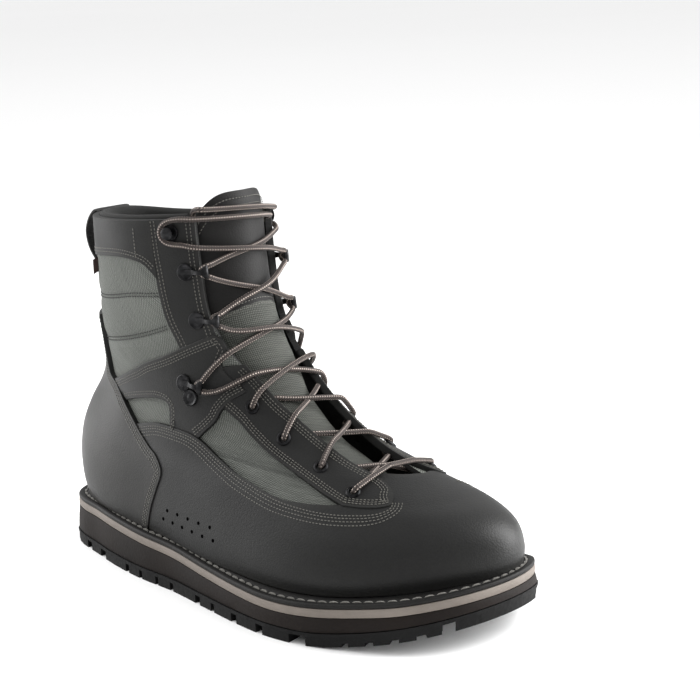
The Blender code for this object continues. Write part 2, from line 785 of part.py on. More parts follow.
def make_hook(name, matrix, material):
    """A lace hook: a plate on the eyestay that rises towards the throat and bends back."""
    path = [(along * HOOK_LENGTH, rise * HOOK_RISE + HOOK_METAL / 2) for along, rise in HOOK_PATH]
    part = ribbon(name, path, 0.0, HOOK_WIDTH, HOOK_METAL, material)
    part.matrix_basis = matrix


def make_hardware(material):
    """Eyelets and hooks on both sides of the throat."""
    for side, word in ((1, "lateral"), (-1, "medial")):
        for number, (around, up) in enumerate(EYELET_PLACES, 1):
            matrix = face_frame(side * around, up, OVERLAY_OUT + EYELET_SEAT, (0.0, up))
            make_eyelet("eyelet_%s_%d" % (word, number), matrix, material)
        for number, (around, up) in enumerate(HOOK_PLACES, 1):
            matrix = face_frame(side * around, up, OVERLAY_OUT + GAP, (0.0, up))
            make_hook("hook_%s_%d" % (word, number), matrix, material)


def make_laces(material):
    """The lace's crossings as one tube, zigzag down one way and up the other."""
    down = [(around if k % 2 else -around, up) for k, (around, up) in enumerate(LACE_TURNS)][::-1]
    back = [(-around, up) for around, up in reversed(down)]
    route = [(around, up, 1) for around, up in down] + [(around, up, -1) for around, up in back]
    points = []
    for (a, b, way), (c, d, _) in zip(route, route[1:]):
        for t in shares(LACE_STEPS)[:-1]:
            around, up = a + (c - a) * t, b + (d - b) * t
            lift = LACE / 2 + GAP + way * LACE_CROSS * math.sin(math.pi * t) - sink_at(around, up)
            points.append(upper_point(around, up, lift))
    points.append(upper_point(*back[-1], LACE / 2 + GAP - sink_at(*back[-1])))
    curve = bpy.data.curves.new("lace_crossings", "CURVE")
    curve.dimensions = "3D"
    spline = curve.splines.new("POLY")
    spline.points.add(len(points) - 1)
    for item, point in zip(spline.points, points):
        item.co = (point.x, point.y, point.z, 1.0)
    curve.bevel_depth = LACE / 2
    curve.bevel_resolution = 1
    curve.use_fill_caps = True
    curve.materials.append(material)
    part = bpy.data.objects.new("lace_crossings", curve)
    BOOT.objects.link(part)
    part.parent = ROOT


def ribbon(name, path, centre, width, thickness, material):
    """A flat strap along a path of (x, z) points, with its width along Y."""
    bm = bmesh.new()
    points = [Vector(p) for p in path]
    loops = []
    for k, point in enumerate(points):
        along = (points[min(k + 1, len(points) - 1)] - points[max(k - 1, 0)]).normalized()
        normal = Vector((-along.y, along.x)) * thickness / 2
        corners = []
        for y, sign in ((-width / 2, -1), (width / 2, -1), (width / 2, 1), (-width / 2, 1)):
            place = point + normal * sign
            corners.append(bm.verts.new((place.x, centre + y, place.y)))
        loops.append(corners)
    for a, b in zip(loops, loops[1:]):
        for k in range(4):
            n = (k + 1) % 4
            bm.faces.new((a[k], a[n], b[n], b[k]))
    bm.faces.new(loops[0])
    bm.faces.new(loops[-1])
    return add_object(name, finish_mesh(bm, name), material)


def make_pull_loop(material):
    """Webbing loop at the back of the collar."""
    low = upper_point(0.5, LOOP_LOW, OVERLAY_OUT + GAP)
    high = upper_point(0.5, LOOP_TOP, OVERLAY_OUT + GAP)
    rest = LOOP_THICKNESS / 2
    path = [(low.x - rest, low.z)]
    for t in shares(LOOP_STEPS, LOOP_FOOT):
        point = low + (high - low) * t
        path.append((point.x - rest - LOOP_BULGE * math.sin(math.pi * t) ** LOOP_FULLNESS, point.z))
    ribbon("pull_loop", path, low.y, LOOP_WIDTH, LOOP_THICKNESS, material)


def make_side_tag(material):
    """A small folded tag sewn under the collar band's edge."""
    matrix = face_frame(*TAG_PLACE, GAP, (TAG_PLACE[0], COLLAR_TOP))
    bm = bmesh.new()
    bmesh.ops.create_cube(bm, size=1.0)
    bmesh.ops.scale(bm, vec=(TAG_LENGTH, TAG_THICKNESS, TAG_REACH), verts=bm.verts)
    bmesh.ops.translate(bm, vec=(0, 0, TAG_REACH / 2), verts=bm.verts)
    part = add_object("side_tag", finish_mesh(bm, "side_tag"), material)
    part.matrix_basis = matrix


def main():
    """Build the boot."""
    materials = {
        "tread": make_material("black rubber", RUBBER_BLACK, 0.62),
        "midsole": make_material("brown rubber", RUBBER_BROWN, 0.55),
        "stripe": make_material("greige rubber", RUBBER_GREIGE, 0.60),
        "welt": make_material("welt leather", RUBBER_BLACK, 0.55),
        "leather": make_material("black leather", LEATHER, 0.48),
        "nylon": make_material("grey nylon", NYLON, 0.80),
        "lining": make_material("black lining", LINING, 0.90),
        "metal": make_material("blackened metal", METAL, 0.35, 1.0),
        "cord": make_material("lace cord", CORD, 0.80),
        "tag": make_material("brown tag", TAG_BROWN, 0.80),
    }
    make_sole(materials)
    make_upper(materials["nylon"])
    make_counter(materials["leather"])
    make_vamp(materials["leather"])
    make_collar(materials["leather"], materials["lining"])
    make_stays(materials["leather"])
    make_tongue(materials["leather"])
    make_hardware(materials["metal"])
    make_laces(materials["cord"])
    make_pull_loop(materials["lining"])
    make_side_tag(materials["tag"])
    rim = sole_rim(TREAD_FLARE)
    middle = [(min(values) + max(values)) / 2 for values in ([p.x for p in rim], [p.y for p in rim])]
    ROOT.location = (-middle[0], -middle[1], 0.0)


clear_scene()
BOOT = bpy.data.collections.new("wading boot")
GUIDES = bpy.data.collections.new("guides")
bpy.context.scene.collection.children.link(BOOT)
bpy.context.scene.collection.children.link(GUIDES)
ROOT = bpy.data.objects.new("root", None)
BOOT.objects.link(ROOT)
main()
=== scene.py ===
# Looks of a right wading boot: nylon and leather upper, laces and hooks, stacked rubber sole.
# Places on the upper are pairs (share around, share up): around is 0 at the front, 0.25 on the lateral
# side, 0.5 at the heel and below 0 on the medial side; up is 0 at the welt and 1 at the collar.
import math

import bpy
import numpy as np
from mathutils import Matrix, Vector
from mathutils.kdtree import KDTree


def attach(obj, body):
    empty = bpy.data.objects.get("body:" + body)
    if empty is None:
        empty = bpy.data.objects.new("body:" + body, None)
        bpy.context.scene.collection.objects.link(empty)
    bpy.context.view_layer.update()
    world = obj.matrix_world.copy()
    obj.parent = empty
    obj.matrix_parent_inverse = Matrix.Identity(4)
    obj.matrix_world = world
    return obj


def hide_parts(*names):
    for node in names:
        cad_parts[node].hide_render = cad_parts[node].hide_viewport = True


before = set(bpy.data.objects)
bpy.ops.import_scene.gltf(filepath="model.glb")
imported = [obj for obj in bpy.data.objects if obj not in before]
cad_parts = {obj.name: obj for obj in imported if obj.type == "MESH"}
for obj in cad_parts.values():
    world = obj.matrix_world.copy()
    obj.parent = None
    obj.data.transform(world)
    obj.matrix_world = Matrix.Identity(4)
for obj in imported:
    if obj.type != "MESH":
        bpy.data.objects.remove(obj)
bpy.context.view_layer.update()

MM = 0.001
# Driving sizes of the last and the sole, in metres, as the solids have them
SOLE_LENGTH = 0.312
BALL_WIDTH = 0.117
UPPER_HEIGHT = 0.171
HEEL_STACK = 0.0267
BALL_STACK = 0.0193
TOE_TOP_RISE = 0.012
TOE_SPRING = 0.015
SPRING_START = 0.74
SPRING_POWER = 1.7
TREAD = 0.0070
STRIPE = 0.0045
WELT = 0.0028
WALL = 0.0023
GAP = 0.0003
SHAFT_SHIFT = 0.02
# Where the back of the heel lies on the frame's axes
HEEL_BACK = np.array((-0.156002, 0.005139, 0.0))

# Height of each overlay above the last, in mm
STAY, STRAP, VAMP, COUNTER, COLLAR = 1.7, 2.4, 2.1, 2.9, 2.0

# Sole outline: share of length, then the lateral and the medial half width
OUTLINE = (
    (0.000, 0.000, 0.000), (0.006, 0.100, 0.100), (0.030, 0.205, 0.210), (0.070, 0.265, 0.275),
    (0.130, 0.310, 0.315), (0.200, 0.365, 0.290), (0.300, 0.418, 0.240), (0.400, 0.440, 0.222),
    (0.500, 0.490, 0.275), (0.600, 0.538, 0.355), (0.680, 0.558, 0.420), (0.760, 0.530, 0.455),
    (0.840, 0.448, 0.470), (0.900, 0.368, 0.460), (0.950, 0.250, 0.410), (0.980, 0.130, 0.320),
    (1.000, -0.100, 0.100),
)
# Height of the stripe's top: share of length, shares of the heel stack, the ball stack and the toe's rise
TOP_LINE = (
    (0.00, 1.00, 0.00, 0.00), (0.18, 1.00, 0.00, 0.00), (0.35, 0.70, 0.30, 0.00),
    (0.55, 0.15, 0.85, 0.00), (0.72, 0.00, 1.00, 0.00), (0.88, 0.00, 1.00, 0.38),
    (1.00, 0.00, 1.00, 1.00),
)
# Slices of the last: front length and height, back length and height, front shift, follow of the sole
PROFILE = (
    (0.976, 0.000, 0.0230, 0.000, 0.140, 1.0), (0.979, 0.053, 0.0130, 0.065, 0.140, 0.9),
    (0.967, 0.120, 0.0090, 0.157, 0.135, 0.6), (0.930, 0.177, 0.0170, 0.253, 0.125, 0.3),
    (0.871, 0.221, 0.0400, 0.340, 0.110, 0.1), (0.796, 0.276, 0.0720, 0.421, 0.085, 0.0),
    (0.703, 0.356, 0.0900, 0.497, 0.060, 0.0), (0.614, 0.460, 0.0900, 0.574, 0.040, 0.0),
    (0.546, 0.586, 0.0860, 0.655, 0.020, 0.0), (0.502, 0.737, 0.0860, 0.747, 0.000, 0.0),
    (0.481, 0.910, 0.0900, 0.869, 0.000, 0.0), (0.470, 1.067, 0.0920, 1.000, 0.000, 0.0),
)
WIDTH_STATIONS = (0.0, 0.3, 0.55, 0.8, 1.0)
LATERAL = (
    (0.430, 0.400, 0.490, 0.600, 0.560), (0.460, 0.410, 0.492, 0.610, 0.570),
    (0.460, 0.400, 0.460, 0.560, 0.550), (0.430, 0.377, 0.415, 0.470, 0.500),
    (0.380, 0.350, 0.360, 0.390, 0.450), (0.340, 0.330, 0.330, 0.330, 0.390),
    (0.325, 0.320, 0.314, 0.300, 0.345), (0.318, 0.318, 0.310, 0.297, 0.325),
    (0.318, 0.320, 0.312, 0.303, 0.325), (0.322, 0.327, 0.325, 0.317, 0.335),
    (0.328, 0.335, 0.335, 0.327, 0.340), (0.335, 0.340, 0.340, 0.335, 0.345),
)
MEDIAL = (
    (0.450, 0.250, 0.270, 0.440, 0.580), (0.460, 0.270, 0.290, 0.460, 0.585),
    (0.445, 0.305, 0.320, 0.435, 0.560), (0.410, 0.320, 0.330, 0.390, 0.500),
    (0.370, 0.322, 0.325, 0.350, 0.440), (0.340, 0.322, 0.320, 0.315, 0.370),
    (0.320, 0.315, 0.312, 0.290, 0.325), (0.310, 0.310, 0.305, 0.290, 0.315),
    (0.310, 0.315, 0.310, 0.300, 0.325), (0.320, 0.325, 0.325, 0.315, 0.335),
    (0.330, 0.335, 0.335, 0.325, 0.340), (0.335, 0.340, 0.340, 0.335, 0.345),
)
# Throat opening: share up, half its width as a share around
THROAT = (
    (0.405, 0.000), (0.420, 0.030), (0.450, 0.048), (0.500, 0.060), (0.560, 0.068),
    (0.640, 0.080), (0.700, 0.096), (0.760, 0.118), (0.820, 0.128), (1.000, 0.125),
)

# Edges of the overlays on the lateral side, as places (around, up). The medial side mirrors them, apart
# from the edges named MEDIAL.
COUNTER_FRONT = ((0.316, 0.006), (0.307, 0.115), (0.299, 0.19), (0.294, 0.25), (0.300, 0.30), (0.308, 0.325),
                 (0.328, 0.395), (0.353, 0.465), (0.369, 0.51), (0.397, 0.540), (0.412, 0.625), (0.403, 0.74))
VAMP_TOP = ((0.0, 0.470), (0.035, 0.482), (0.058, 0.484), (0.075, 0.450), (0.092, 0.385), (0.107, 0.345),
            (0.130, 0.325), (0.155, 0.303),
            (0.181, 0.292), (0.194, 0.298), (0.208, 0.320), (0.222, 0.345), (0.236, 0.392), (0.248, 0.440),
            (0.258, 0.456), (0.272, 0.456), (0.300, 0.440), (0.322, 0.405), (0.331, 0.385))
# The vamp's edge in the throat on the medial side, and the line that its three rows of stitches follow
VAMP_MEDIAL = ((0.0, 0.470), (-0.020, 0.462), (-0.040, 0.450), (-0.060, 0.438), (-0.080, 0.412),
               (-0.102, 0.365))
VAMP_SEAM = ((0.324, 0.398), (0.300, 0.440), (0.272, 0.456), (0.258, 0.456), (0.248, 0.440), (0.236, 0.392),
             (0.222, 0.345), (0.208, 0.318), (0.194, 0.297), (0.181, 0.287), (0.155, 0.281), (0.132, 0.288),
             (0.112, 0.303), (0.098, 0.328), (0.087, 0.362))
STAY_FRONT = ((0.101, 0.733), (0.093, 0.71), (0.084, 0.655), (0.076, 0.625), (0.070, 0.585), (0.066, 0.55),
              (0.062, 0.515), (0.058, 0.49), (0.056, 0.460), (0.063, 0.425), (0.078, 0.390))
STAY_TOE = ((0.078, 0.390), (0.088, 0.352), (0.104, 0.328), (0.122, 0.316), (0.138, 0.314))
MEDIAL_STAY_TOE = ((0.066, 0.455), (0.080, 0.415), (0.098, 0.372), (0.118, 0.342), (0.138, 0.330))
STAY_BACK = ((0.205, 0.670), (0.186, 0.615), (0.178, 0.58), (0.178, 0.54), (0.175, 0.485), (0.164, 0.425),
             (0.150, 0.36), (0.138, 0.314))
MEDIAL_STAY_FRONT = STAY_FRONT[:8] + ((0.060, 0.472), (0.066, 0.455))
MEDIAL_STAY_BACK = STAY_BACK[:-1] + ((0.138, 0.330),)
STAY_TOP = ((0.101, 0.733), (0.128, 0.727), (0.152, 0.716), (0.180, 0.695), (0.205, 0.670))
STRAP_TOP = ((0.376, 0.525), (0.328, 0.600), (0.300, 0.638), (0.272, 0.675), (0.231, 0.715), (0.192, 0.750),
             (0.156, 0.775), (0.128, 0.790))
STRAP_LOW = ((0.350, 0.470), (0.335, 0.497), (0.318, 0.522), (0.300, 0.545), (0.285, 0.560), (0.272, 0.562),
             (0.270, 0.545), (0.277, 0.50), (0.285, 0.450), (0.270, 0.445), (0.254, 0.450), (0.244, 0.480),
             (0.230, 0.516), (0.212, 0.556), (0.192, 0.598), (0.163, 0.640), (0.128, 0.672))
# Shares along the strap's lower edge, with its leg, and the shares of its upper edge they are joined to
STRAP_PACE = ((0.0, 0.0), (0.25, 0.46), (0.29, 0.54), (0.43, 0.56), (0.52, 0.60), (1.0, 1.0))
STRAP_END = ((0.128, 0.672), (0.140, 0.700), (0.143, 0.725), (0.130, 0.745), (0.119, 0.762), (0.120, 0.780),
             (0.128, 0.790))
SHAFT_LOW, SHAFT_TOP = ((0.131, 0.776), (0.197, 0.742)), ((0.127, 0.999), (0.208, 0.999))
SHAFT_FRONT = ((0.131, 0.776), (0.127, 0.795), (0.128, 0.83), (0.128, 0.88), (0.128, 0.93), (0.127, 0.999))
SHAFT_BACK = ((0.197, 0.742), (0.198, 0.77), (0.201, 0.80), (0.203, 0.84), (0.205, 0.89), (0.207, 0.94),
              (0.208, 0.999))
COLLAR_LOW = ((0.203, 0.885), (0.212, 0.898), (0.224, 0.912), (0.239, 0.919), (0.272, 0.924), (0.320, 0.921),
              (0.361, 0.915), (0.42, 0.909), (0.5, 0.906))
TONGUE_SEAM = ((0.150, 0.800), (0.097, 0.830), (0.050, 0.843), (0.0, 0.848), (-0.050, 0.843),
               (-0.097, 0.830), (-0.150, 0.800))

# Hardware, from the toe up: eyelets and hooks on the lateral side
EYELETS = ((0.117, 0.385), (0.122, 0.480), (0.131, 0.560), (0.136, 0.635))
HOOKS = ((0.219, 0.655), (0.150, 0.815), (0.153, 0.900), (0.169, 0.975))

# Camera, as fitted to the photograph
AZIMUTH, ELEVATION, ROLL = 45.38, 13.96, -2.53
FOCAL_PIXELS, DISTANCE = 1720.0, 0.949
CENTRE_PIXEL = (269.9, 389.0)
AIM = np.array((0.155, 0.0, 0.110))
PICTURE = 700.0
SENSOR = 36.0


def srgb(code):
    """Linear colour of a six-figure sRGB code."""
    parts = [int(code[k:k + 2], 16) / 255 for k in (0, 2, 4)]
    return tuple(c / 12.92 if c <= 0.04045 else ((c + 0.055) / 1.055) ** 2.4 for c in parts) + (1.0,)


# The last and the sole's outline

def smooth(stations, values, at):
    """Smooth curve through values at stations, for an array of places."""
    stations, values = np.asarray(stations, float), np.asarray(values, float)
    at = np.asarray(at, float)
    last_one = len(stations) - 1
    after = np.minimum(np.arange(last_one + 1) + 1, last_one)
    before = np.maximum(np.arange(last_one + 1) - 1, 0)
    runs = (stations[after] - stations[before])
    slopes = (values[after] - values[before]) / (runs if values.ndim == 1 else runs[:, None])
    low = np.clip(np.searchsorted(stations, at, side="left") - 1, 0, last_one - 1)
    span = stations[low + 1] - stations[low]
    u = (at - stations[low]) / span
    if values.ndim == 1:
        v0, v1, s0, s1 = values[low], values[low + 1], slopes[low], slopes[low + 1]
    else:
        k = np.arange(at.shape[0])
        v0, v1, s0, s1 = values[low, k], values[low + 1, k], slopes[low, k], slopes[low + 1, k]
    return ((2 * u ** 3 - 3 * u ** 2 + 1) * v0 + (u ** 3 - 2 * u ** 2 + u) * s0 * span
            + (3 * u ** 2 - 2 * u ** 3) * v1 + (u ** 3 - u ** 2) * s1 * span)


def stripe_top(x):
    """Height of the stripe's top face over x, both from the heel's back."""
    share = np.clip(np.asarray(x, float) / SOLE_LENGTH, 0.0, 1.0)
    stations = [row[0] for row in TOP_LINE]
    heel, ball, toe = (smooth(stations, [row[k] for row in TOP_LINE], share) for k in (1, 2, 3))
    return heel * HEEL_STACK + ball * BALL_STACK + toe * TOE_TOP_RISE


def ground_line(x):
    """Height of the tread's bottom."""
    lift = (np.asarray(x, float) / SOLE_LENGTH - SPRING_START) / (1 - SPRING_START)
    return TOE_SPRING * np.maximum(lift, 0.0) ** SPRING_POWER


def seat_height(x):
    """Height at which the upper starts."""
    return stripe_top(x) + WELT + GAP


def rim(turns, out=0.0):
    """The sole's outline in plan at turns from 0 (heel) by the lateral side to 1 (toe) and back to 2."""
    turns = np.asarray(turns, float) % 2.0

    def at(t):
        t = t % 2.0
        side = np.where(t <= 1.0, -1.0, 1.0)
        angle = np.where(t <= 1.0, t, 2.0 - t) * math.pi
        stations = np.arccos(1 - 2 * np.array([row[0] for row in OUTLINE]))
        lateral = smooth(stations, [row[1] for row in OUTLINE], angle)
        medial = smooth(stations, [row[2] for row in OUTLINE], angle)
        width = np.where(side < 0, lateral, medial)
        return np.stack(((1 - np.cos(angle)) / 2 * SOLE_LENGTH, side * width * BALL_WIDTH), -1)

    step = 0.004
    along = at(turns + step) - at(turns - step)
    normal = np.stack((along[..., 1], -along[..., 0]), -1)
    normal /= np.linalg.norm(normal, axis=-1, keepdims=True)
    return at(turns) + normal * np.asarray(out)[..., None]


def last_bare(places):
    """Points of the last for places (around, up), from the heel's back."""
    places = np.asarray(places, float)
    shape = places.shape[:-1]
    around, up = places[..., 0].ravel(), places[..., 1].ravel()
    slice_at = up * (len(PROFILE) - 1)
    stations = np.arange(len(PROFILE))
    front_x, front_z, back_x, back_z, shift, follow = (
        smooth(stations, [row[k] for row in PROFILE], slice_at) for k in range(6))
    angle = 2 * math.pi * around
    t = (1 + np.cos(angle)) / 2
    sideways = np.sin(angle)
    widths = []
    for table in (LATERAL, MEDIAL):
        columns = np.stack([smooth(stations, [row[k] for row in table], slice_at)
                            for k in range(len(WIDTH_STATIONS))])
        widths.append(smooth(WIDTH_STATIONS, columns, t))
    width = np.where(sideways >= 0, widths[0], widths[1]) * np.abs(sideways) * BALL_WIDTH
    back, front = back_x * SOLE_LENGTH, front_x * SOLE_LENGTH
    x = back + (front - back) * t
    low, high = seat_height(back), seat_height(front)
    chord = low + (high - low) * t
    z = chord + (back_z + (front_z - back_z) * t) * UPPER_HEIGHT + follow * (seat_height(x) - chord)
    y = (shift * t * t + SHAFT_SHIFT * up) * BALL_WIDTH + np.where(sideways >= 0, -width, width)
    return np.stack((x, y, z), -1).reshape(shape + (3,))


def last(places, out=0.0):
    """Points on the frame's axes for places on the last, raised by out mm, and their normals."""
    places = np.asarray(places, float)
    step = 0.003
    da, du = np.array((step, 0.0)), np.array((0.0, step))
    along = last_bare(places + da) - last_bare(places - da)
    rise = last_bare(places + du) - last_bare(places - du)
    normal = np.cross(rise, along)
    normal /= np.maximum(np.linalg.norm(normal, axis=-1, keepdims=True), 1e-12)
    points = last_bare(places) + HEEL_BACK + normal * (np.asarray(out, float) * MM)[..., None]
    return points, normal


def throat_half(up):
    """Half the throat's opening as a share around."""
    up = np.asarray(up, float)
    return np.where(up <= THROAT[0][0], 0.0, np.interp(up, *zip(*THROAT)))


# Lines and patches of places

def running_lengths(points):
    """Length along a line up to each of its points."""
    return np.concatenate(([0.0], np.cumsum(np.linalg.norm(np.diff(points, axis=0), axis=1))))


def directions(points):
    """Unit directions along a line of points."""
    along = np.gradient(points, axis=0)
    return along / np.maximum(np.linalg.norm(along, axis=1, keepdims=True), 1e-12)


def distances(points, samples):
    """Distance in mm from each point to the nearest sample."""
    tree = KDTree(len(samples))
    for k, sample in enumerate(samples):
        tree.insert(sample, k)
    tree.balance()
    return np.array([tree.find(point)[2] for point in points]) / MM


def curve(points, count):
    """count places along a smooth line through a few places."""
    points = np.asarray(points, float)
    if len(points) == 2:
        return points[0] + (points[1] - points[0]) * np.linspace(0, 1, count)[:, None]
    real = last_bare(points)
    runs = running_lengths(real)
    at = np.linspace(0, runs[-1], count)
    return np.stack([smooth(runs, points[:, k], at) for k in (0, 1)], -1)


def mirrored(points):
    """The same line on the medial side."""
    return tuple((-a, u) for a, u in points)


def patch(low, high, start, end, rows, columns, pace=((0, 0), (1, 1)), fade=1):
    """Places of a panel between four edges: low and high run from start to end.

    pace pairs shares of the low edge with shares of the high one that they are joined to; a higher fade
    keeps the shape of the start and end edges to the panel's ends.
    """
    s, t = np.linspace(0, 1, columns)[None, :, None], np.linspace(0, 1, rows)[:, None, None]
    fine = curve(high, 401)
    joined = np.interp(np.linspace(0, 1, columns), *zip(*pace))
    top = np.stack([np.interp(joined, np.linspace(0, 1, 401), fine[:, k]) for k in (0, 1)], -1)
    straight = (1 - t) * curve(low, columns)[None] + t * top[None]
    left, right = curve(start, rows)[:, None], curve(end, rows)[:, None]
    return (straight + (1 - s) ** fade * (left - straight[:, :1]) + s ** fade * (right - straight[:, -1:]))


def nearness(points, lines, width):
    """Per point, 1 on any of the lines of places and 0 a few widths (mm) away."""
    flat = points.reshape(-1, 3)
    samples = np.concatenate([last(curve(line, 160))[0] for line in lines])
    return np.exp(-(distances(flat, samples) / width) ** 2).reshape(points.shape[:-1])


# Making meshes

def add_mesh(name, points, faces, materials, nodes=(), indices=None, uv=None, edge=None, sharp=50):
    """A piece of the boot from points and faces, riding on the frame."""
    mesh = bpy.data.meshes.new(name)
    mesh.from_pydata([tuple(p) for p in points], [], [tuple(f) for f in faces])
    for material in materials:
        mesh.materials.append(material)
    if indices is not None:
        mesh.polygons.foreach_set("material_index", np.asarray(indices, np.int32))
    loops = np.zeros(len(mesh.loops), np.int32)
    mesh.loops.foreach_get("vertex_index", loops)
    if uv is not None:
        layer = mesh.uv_layers.new(name="cut")
        layer.data.foreach_set("uv", np.asarray(uv, np.float32)[loops].ravel())
    values = np.zeros(len(points)) if edge is None else np.asarray(edge, float)
    layer = mesh.color_attributes.new("edge", "FLOAT_COLOR", "POINT")
    layer.data.foreach_set("color", np.stack([values, values, values, np.ones(len(values))], -1).ravel())
    mesh.shade_smooth()
    mesh.set_sharp_from_angle(angle=math.radians(sharp))
    piece = bpy.data.objects.new(name, mesh)
    bpy.context.scene.collection.objects.link(piece)
    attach(piece, "root")
    if nodes:
        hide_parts(*nodes)
    return piece


def grid_quads(rows, columns, start=0):
    """Faces of a grid of points, row by row."""
    i, j = np.meshgrid(np.arange(rows - 1), np.arange(columns - 1), indexing="ij")
    a = (start + i * columns + j).ravel()
    return np.stack((a, a + columns, a + columns + 1, a + 1), -1)


def boundary(rows, columns):
    """Indices of a grid's rim in order, and of the neighbour inside each."""
    bottom = [(0, j) for j in range(columns)]
    right = [(i, columns - 1) for i in range(1, rows)]
    top = [(rows - 1, j) for j in range(columns - 2, -1, -1)]
    left = [(i, 0) for i in range(rows - 2, 0, -1)]
    loop = bottom + right + top + left
    inner = [(min(max(i, 1), rows - 2), min(max(j, 1), columns - 2)) for i, j in loop]
    return [i * columns + j for i, j in loop], [i * columns + j for i, j in inner]


def ring_quads(count, sides):
    """Faces between closed rings of points, ring by ring."""
    i, j = np.meshgrid(np.arange(count - 1), np.arange(sides), indexing="ij")
    n = (j + 1) % sides
    corners = (i * sides + j, i * sides + n, (i + 1) * sides + n, (i + 1) * sides + j)
    return np.stack(corners, -1).reshape(-1, 4)


def rod_faces(count, sides, flipped=False):
    """Faces of a rod of closed rings with both its ends capped; flipped turns every face round."""
    quads = ring_quads(count, sides)
    ends = [tuple(range(sides))[::-1], tuple(range((count - 1) * sides, count * sides))]
    if flipped:
        quads, ends = np.roll(quads[:, ::-1], 1, axis=1), [end[::-1] for end in ends]
    return [tuple(face) for face in quads.tolist()] + ends


def arc_lengths(points):
    """Lengths in metres along the rows and the columns of a grid, for a weave that keeps its size."""
    along = np.zeros(points.shape[:2])
    along[:, 1:] = np.cumsum(np.linalg.norm(np.diff(points, axis=1), axis=2), axis=1)
    along -= along[:, points.shape[1] // 2][:, None]
    rise = np.zeros(points.shape[:2])
    rise[1:] = np.cumsum(np.linalg.norm(np.diff(points, axis=0), axis=2), axis=0)
    return np.stack((along, rise), -1)


# Section of a cut leather edge: how far out from the rim, and how far down, in mm
CUT_EDGE = ((0.16, 0.05), (0.34, 0.26), (0.40, 0.60), (0.38, 3.4))
# Width in mm of the worn strip beside a cut edge
EDGE_WEAR = 2.2


class Parts:
    """Several panels gathered into one piece."""

    def __init__(self):
        self.points, self.faces, self.uv, self.edge, self.count = [], [], [], [], 0

    def add(self, points, faces, uv=None, edge=None):
        points = np.asarray(points, float).reshape(-1, 3)
        self.points.append(points)
        self.faces.extend([tuple(int(v) + self.count for v in face) for face in faces])
        self.uv.append(np.zeros((len(points), 2)) if uv is None else np.asarray(uv).reshape(-1, 2))
        self.edge.append(np.zeros(len(points)) if edge is None else np.asarray(edge).ravel())
        self.count += len(points)

    def finish(self, name, materials, slot, nodes=(), sharp=50):
        return add_mesh(name, np.concatenate(self.points), self.faces, materials, nodes,
                        uv=np.concatenate(self.uv), edge=np.concatenate(self.edge), sharp=sharp)


def add_panel(parts, places, out):
    """A leather panel over the last: a grid of places raised by out mm, with a cut edge all round."""
    rows, columns = places.shape[:2]
    points, normals = last(places, np.broadcast_to(out, places.shape[:2]))
    faces = grid_quads(rows, columns)
    rim_at, inside = boundary(rows, columns)
    flat, up = points.reshape(-1, 3), normals.reshape(-1, 3)
    edge_points, edge_up = flat[rim_at], up[rim_at]
    outward = edge_points - flat[inside]
    outward -= edge_up * np.sum(outward * edge_up, axis=1, keepdims=True)
    outward /= np.maximum(np.linalg.norm(outward, axis=1, keepdims=True), 1e-9)
    rings, count, around = [flat], len(flat), len(rim_at)
    loops = [np.array(rim_at)]
    for beyond, below in CUT_EDGE:
        rings.append(edge_points + outward * beyond * MM - edge_up * below * MM)
        loops.append(np.arange(count, count + around))
        count += around
    side = []
    for a, b in zip(loops, loops[1:]):
        n = np.roll(np.arange(around), -1)
        side.append(np.stack((a, b, b[n], a[n]), -1))
    a, b, c = flat[faces[len(faces) // 2][:3]]
    facing = np.dot(np.cross(b - a, c - a), up[faces[len(faces) // 2][0]])
    faces = list(faces) if facing > 0 else list(faces[:, ::-1])
    side = np.concatenate(side)
    side = list(side) if facing > 0 else list(side[:, ::-1])
    lengths = arc_lengths(points).reshape(-1, 2)
    near = np.exp(-(distances(flat, edge_points) / EDGE_WEAR) ** 2)
    uv = np.concatenate([lengths] + [lengths[rim_at]] * len(CUT_EDGE))
    edge = np.concatenate([near] + [np.ones(around)] * len(CUT_EDGE))
    parts.add(np.concatenate(rings), faces + side, uv, edge)


def tube(path, radius, sides):
    """Points, faces and UV of a round cord along a path; v is the length in metres."""
    path = np.asarray(path, float)
    along = directions(path)
    up = np.zeros_like(path)
    first = np.cross(along[0], (0.0, 0.0, 1.0))
    if np.linalg.norm(first) < 0.1:
        first = np.cross(along[0], (1.0, 0.0, 0.0))
    up[0] = first / np.linalg.norm(first)
    for k in range(1, len(path)):
        turned = up[k - 1] - along[k] * np.dot(up[k - 1], along[k])
        up[k] = turned / np.linalg.norm(turned)
    across = np.cross(along, up)
    angles = np.linspace(0, 2 * math.pi, sides, endpoint=False)
    radii = np.broadcast_to(radius, (len(path),))[:, None, None]
    ring = (np.cos(angles)[None, :, None] * up[:, None] + np.sin(angles)[None, :, None] * across[:, None])
    points = path[:, None] + ring * radii
    uv = np.stack(np.broadcast_arrays(angles[None] / (2 * math.pi), running_lengths(path)[:, None]), -1)
    return points.reshape(-1, 3), rod_faces(len(path), sides), uv.reshape(-1, 2)


def through(points, step):
    """Evenly spaced points, step metres apart, along a smooth line through some points."""
    points = np.asarray(points, float)
    runs = running_lengths(points)
    at = np.linspace(0, runs[-1], max(int(runs[-1] / step), 2))
    return np.stack([smooth(runs, points[:, k], at) for k in range(3)], -1)


# Rings of a stitch along its length: share of the length, share of the radius
STITCH_RINGS = ((-0.5, 0.35), (-0.32, 0.95), (0.0, 1.1), (0.32, 0.95), (0.5, 0.35))
STITCH_SIDES = 4
# How deep a stitch's ends dip, as a share of its radius
STITCH_DIP = 0.35


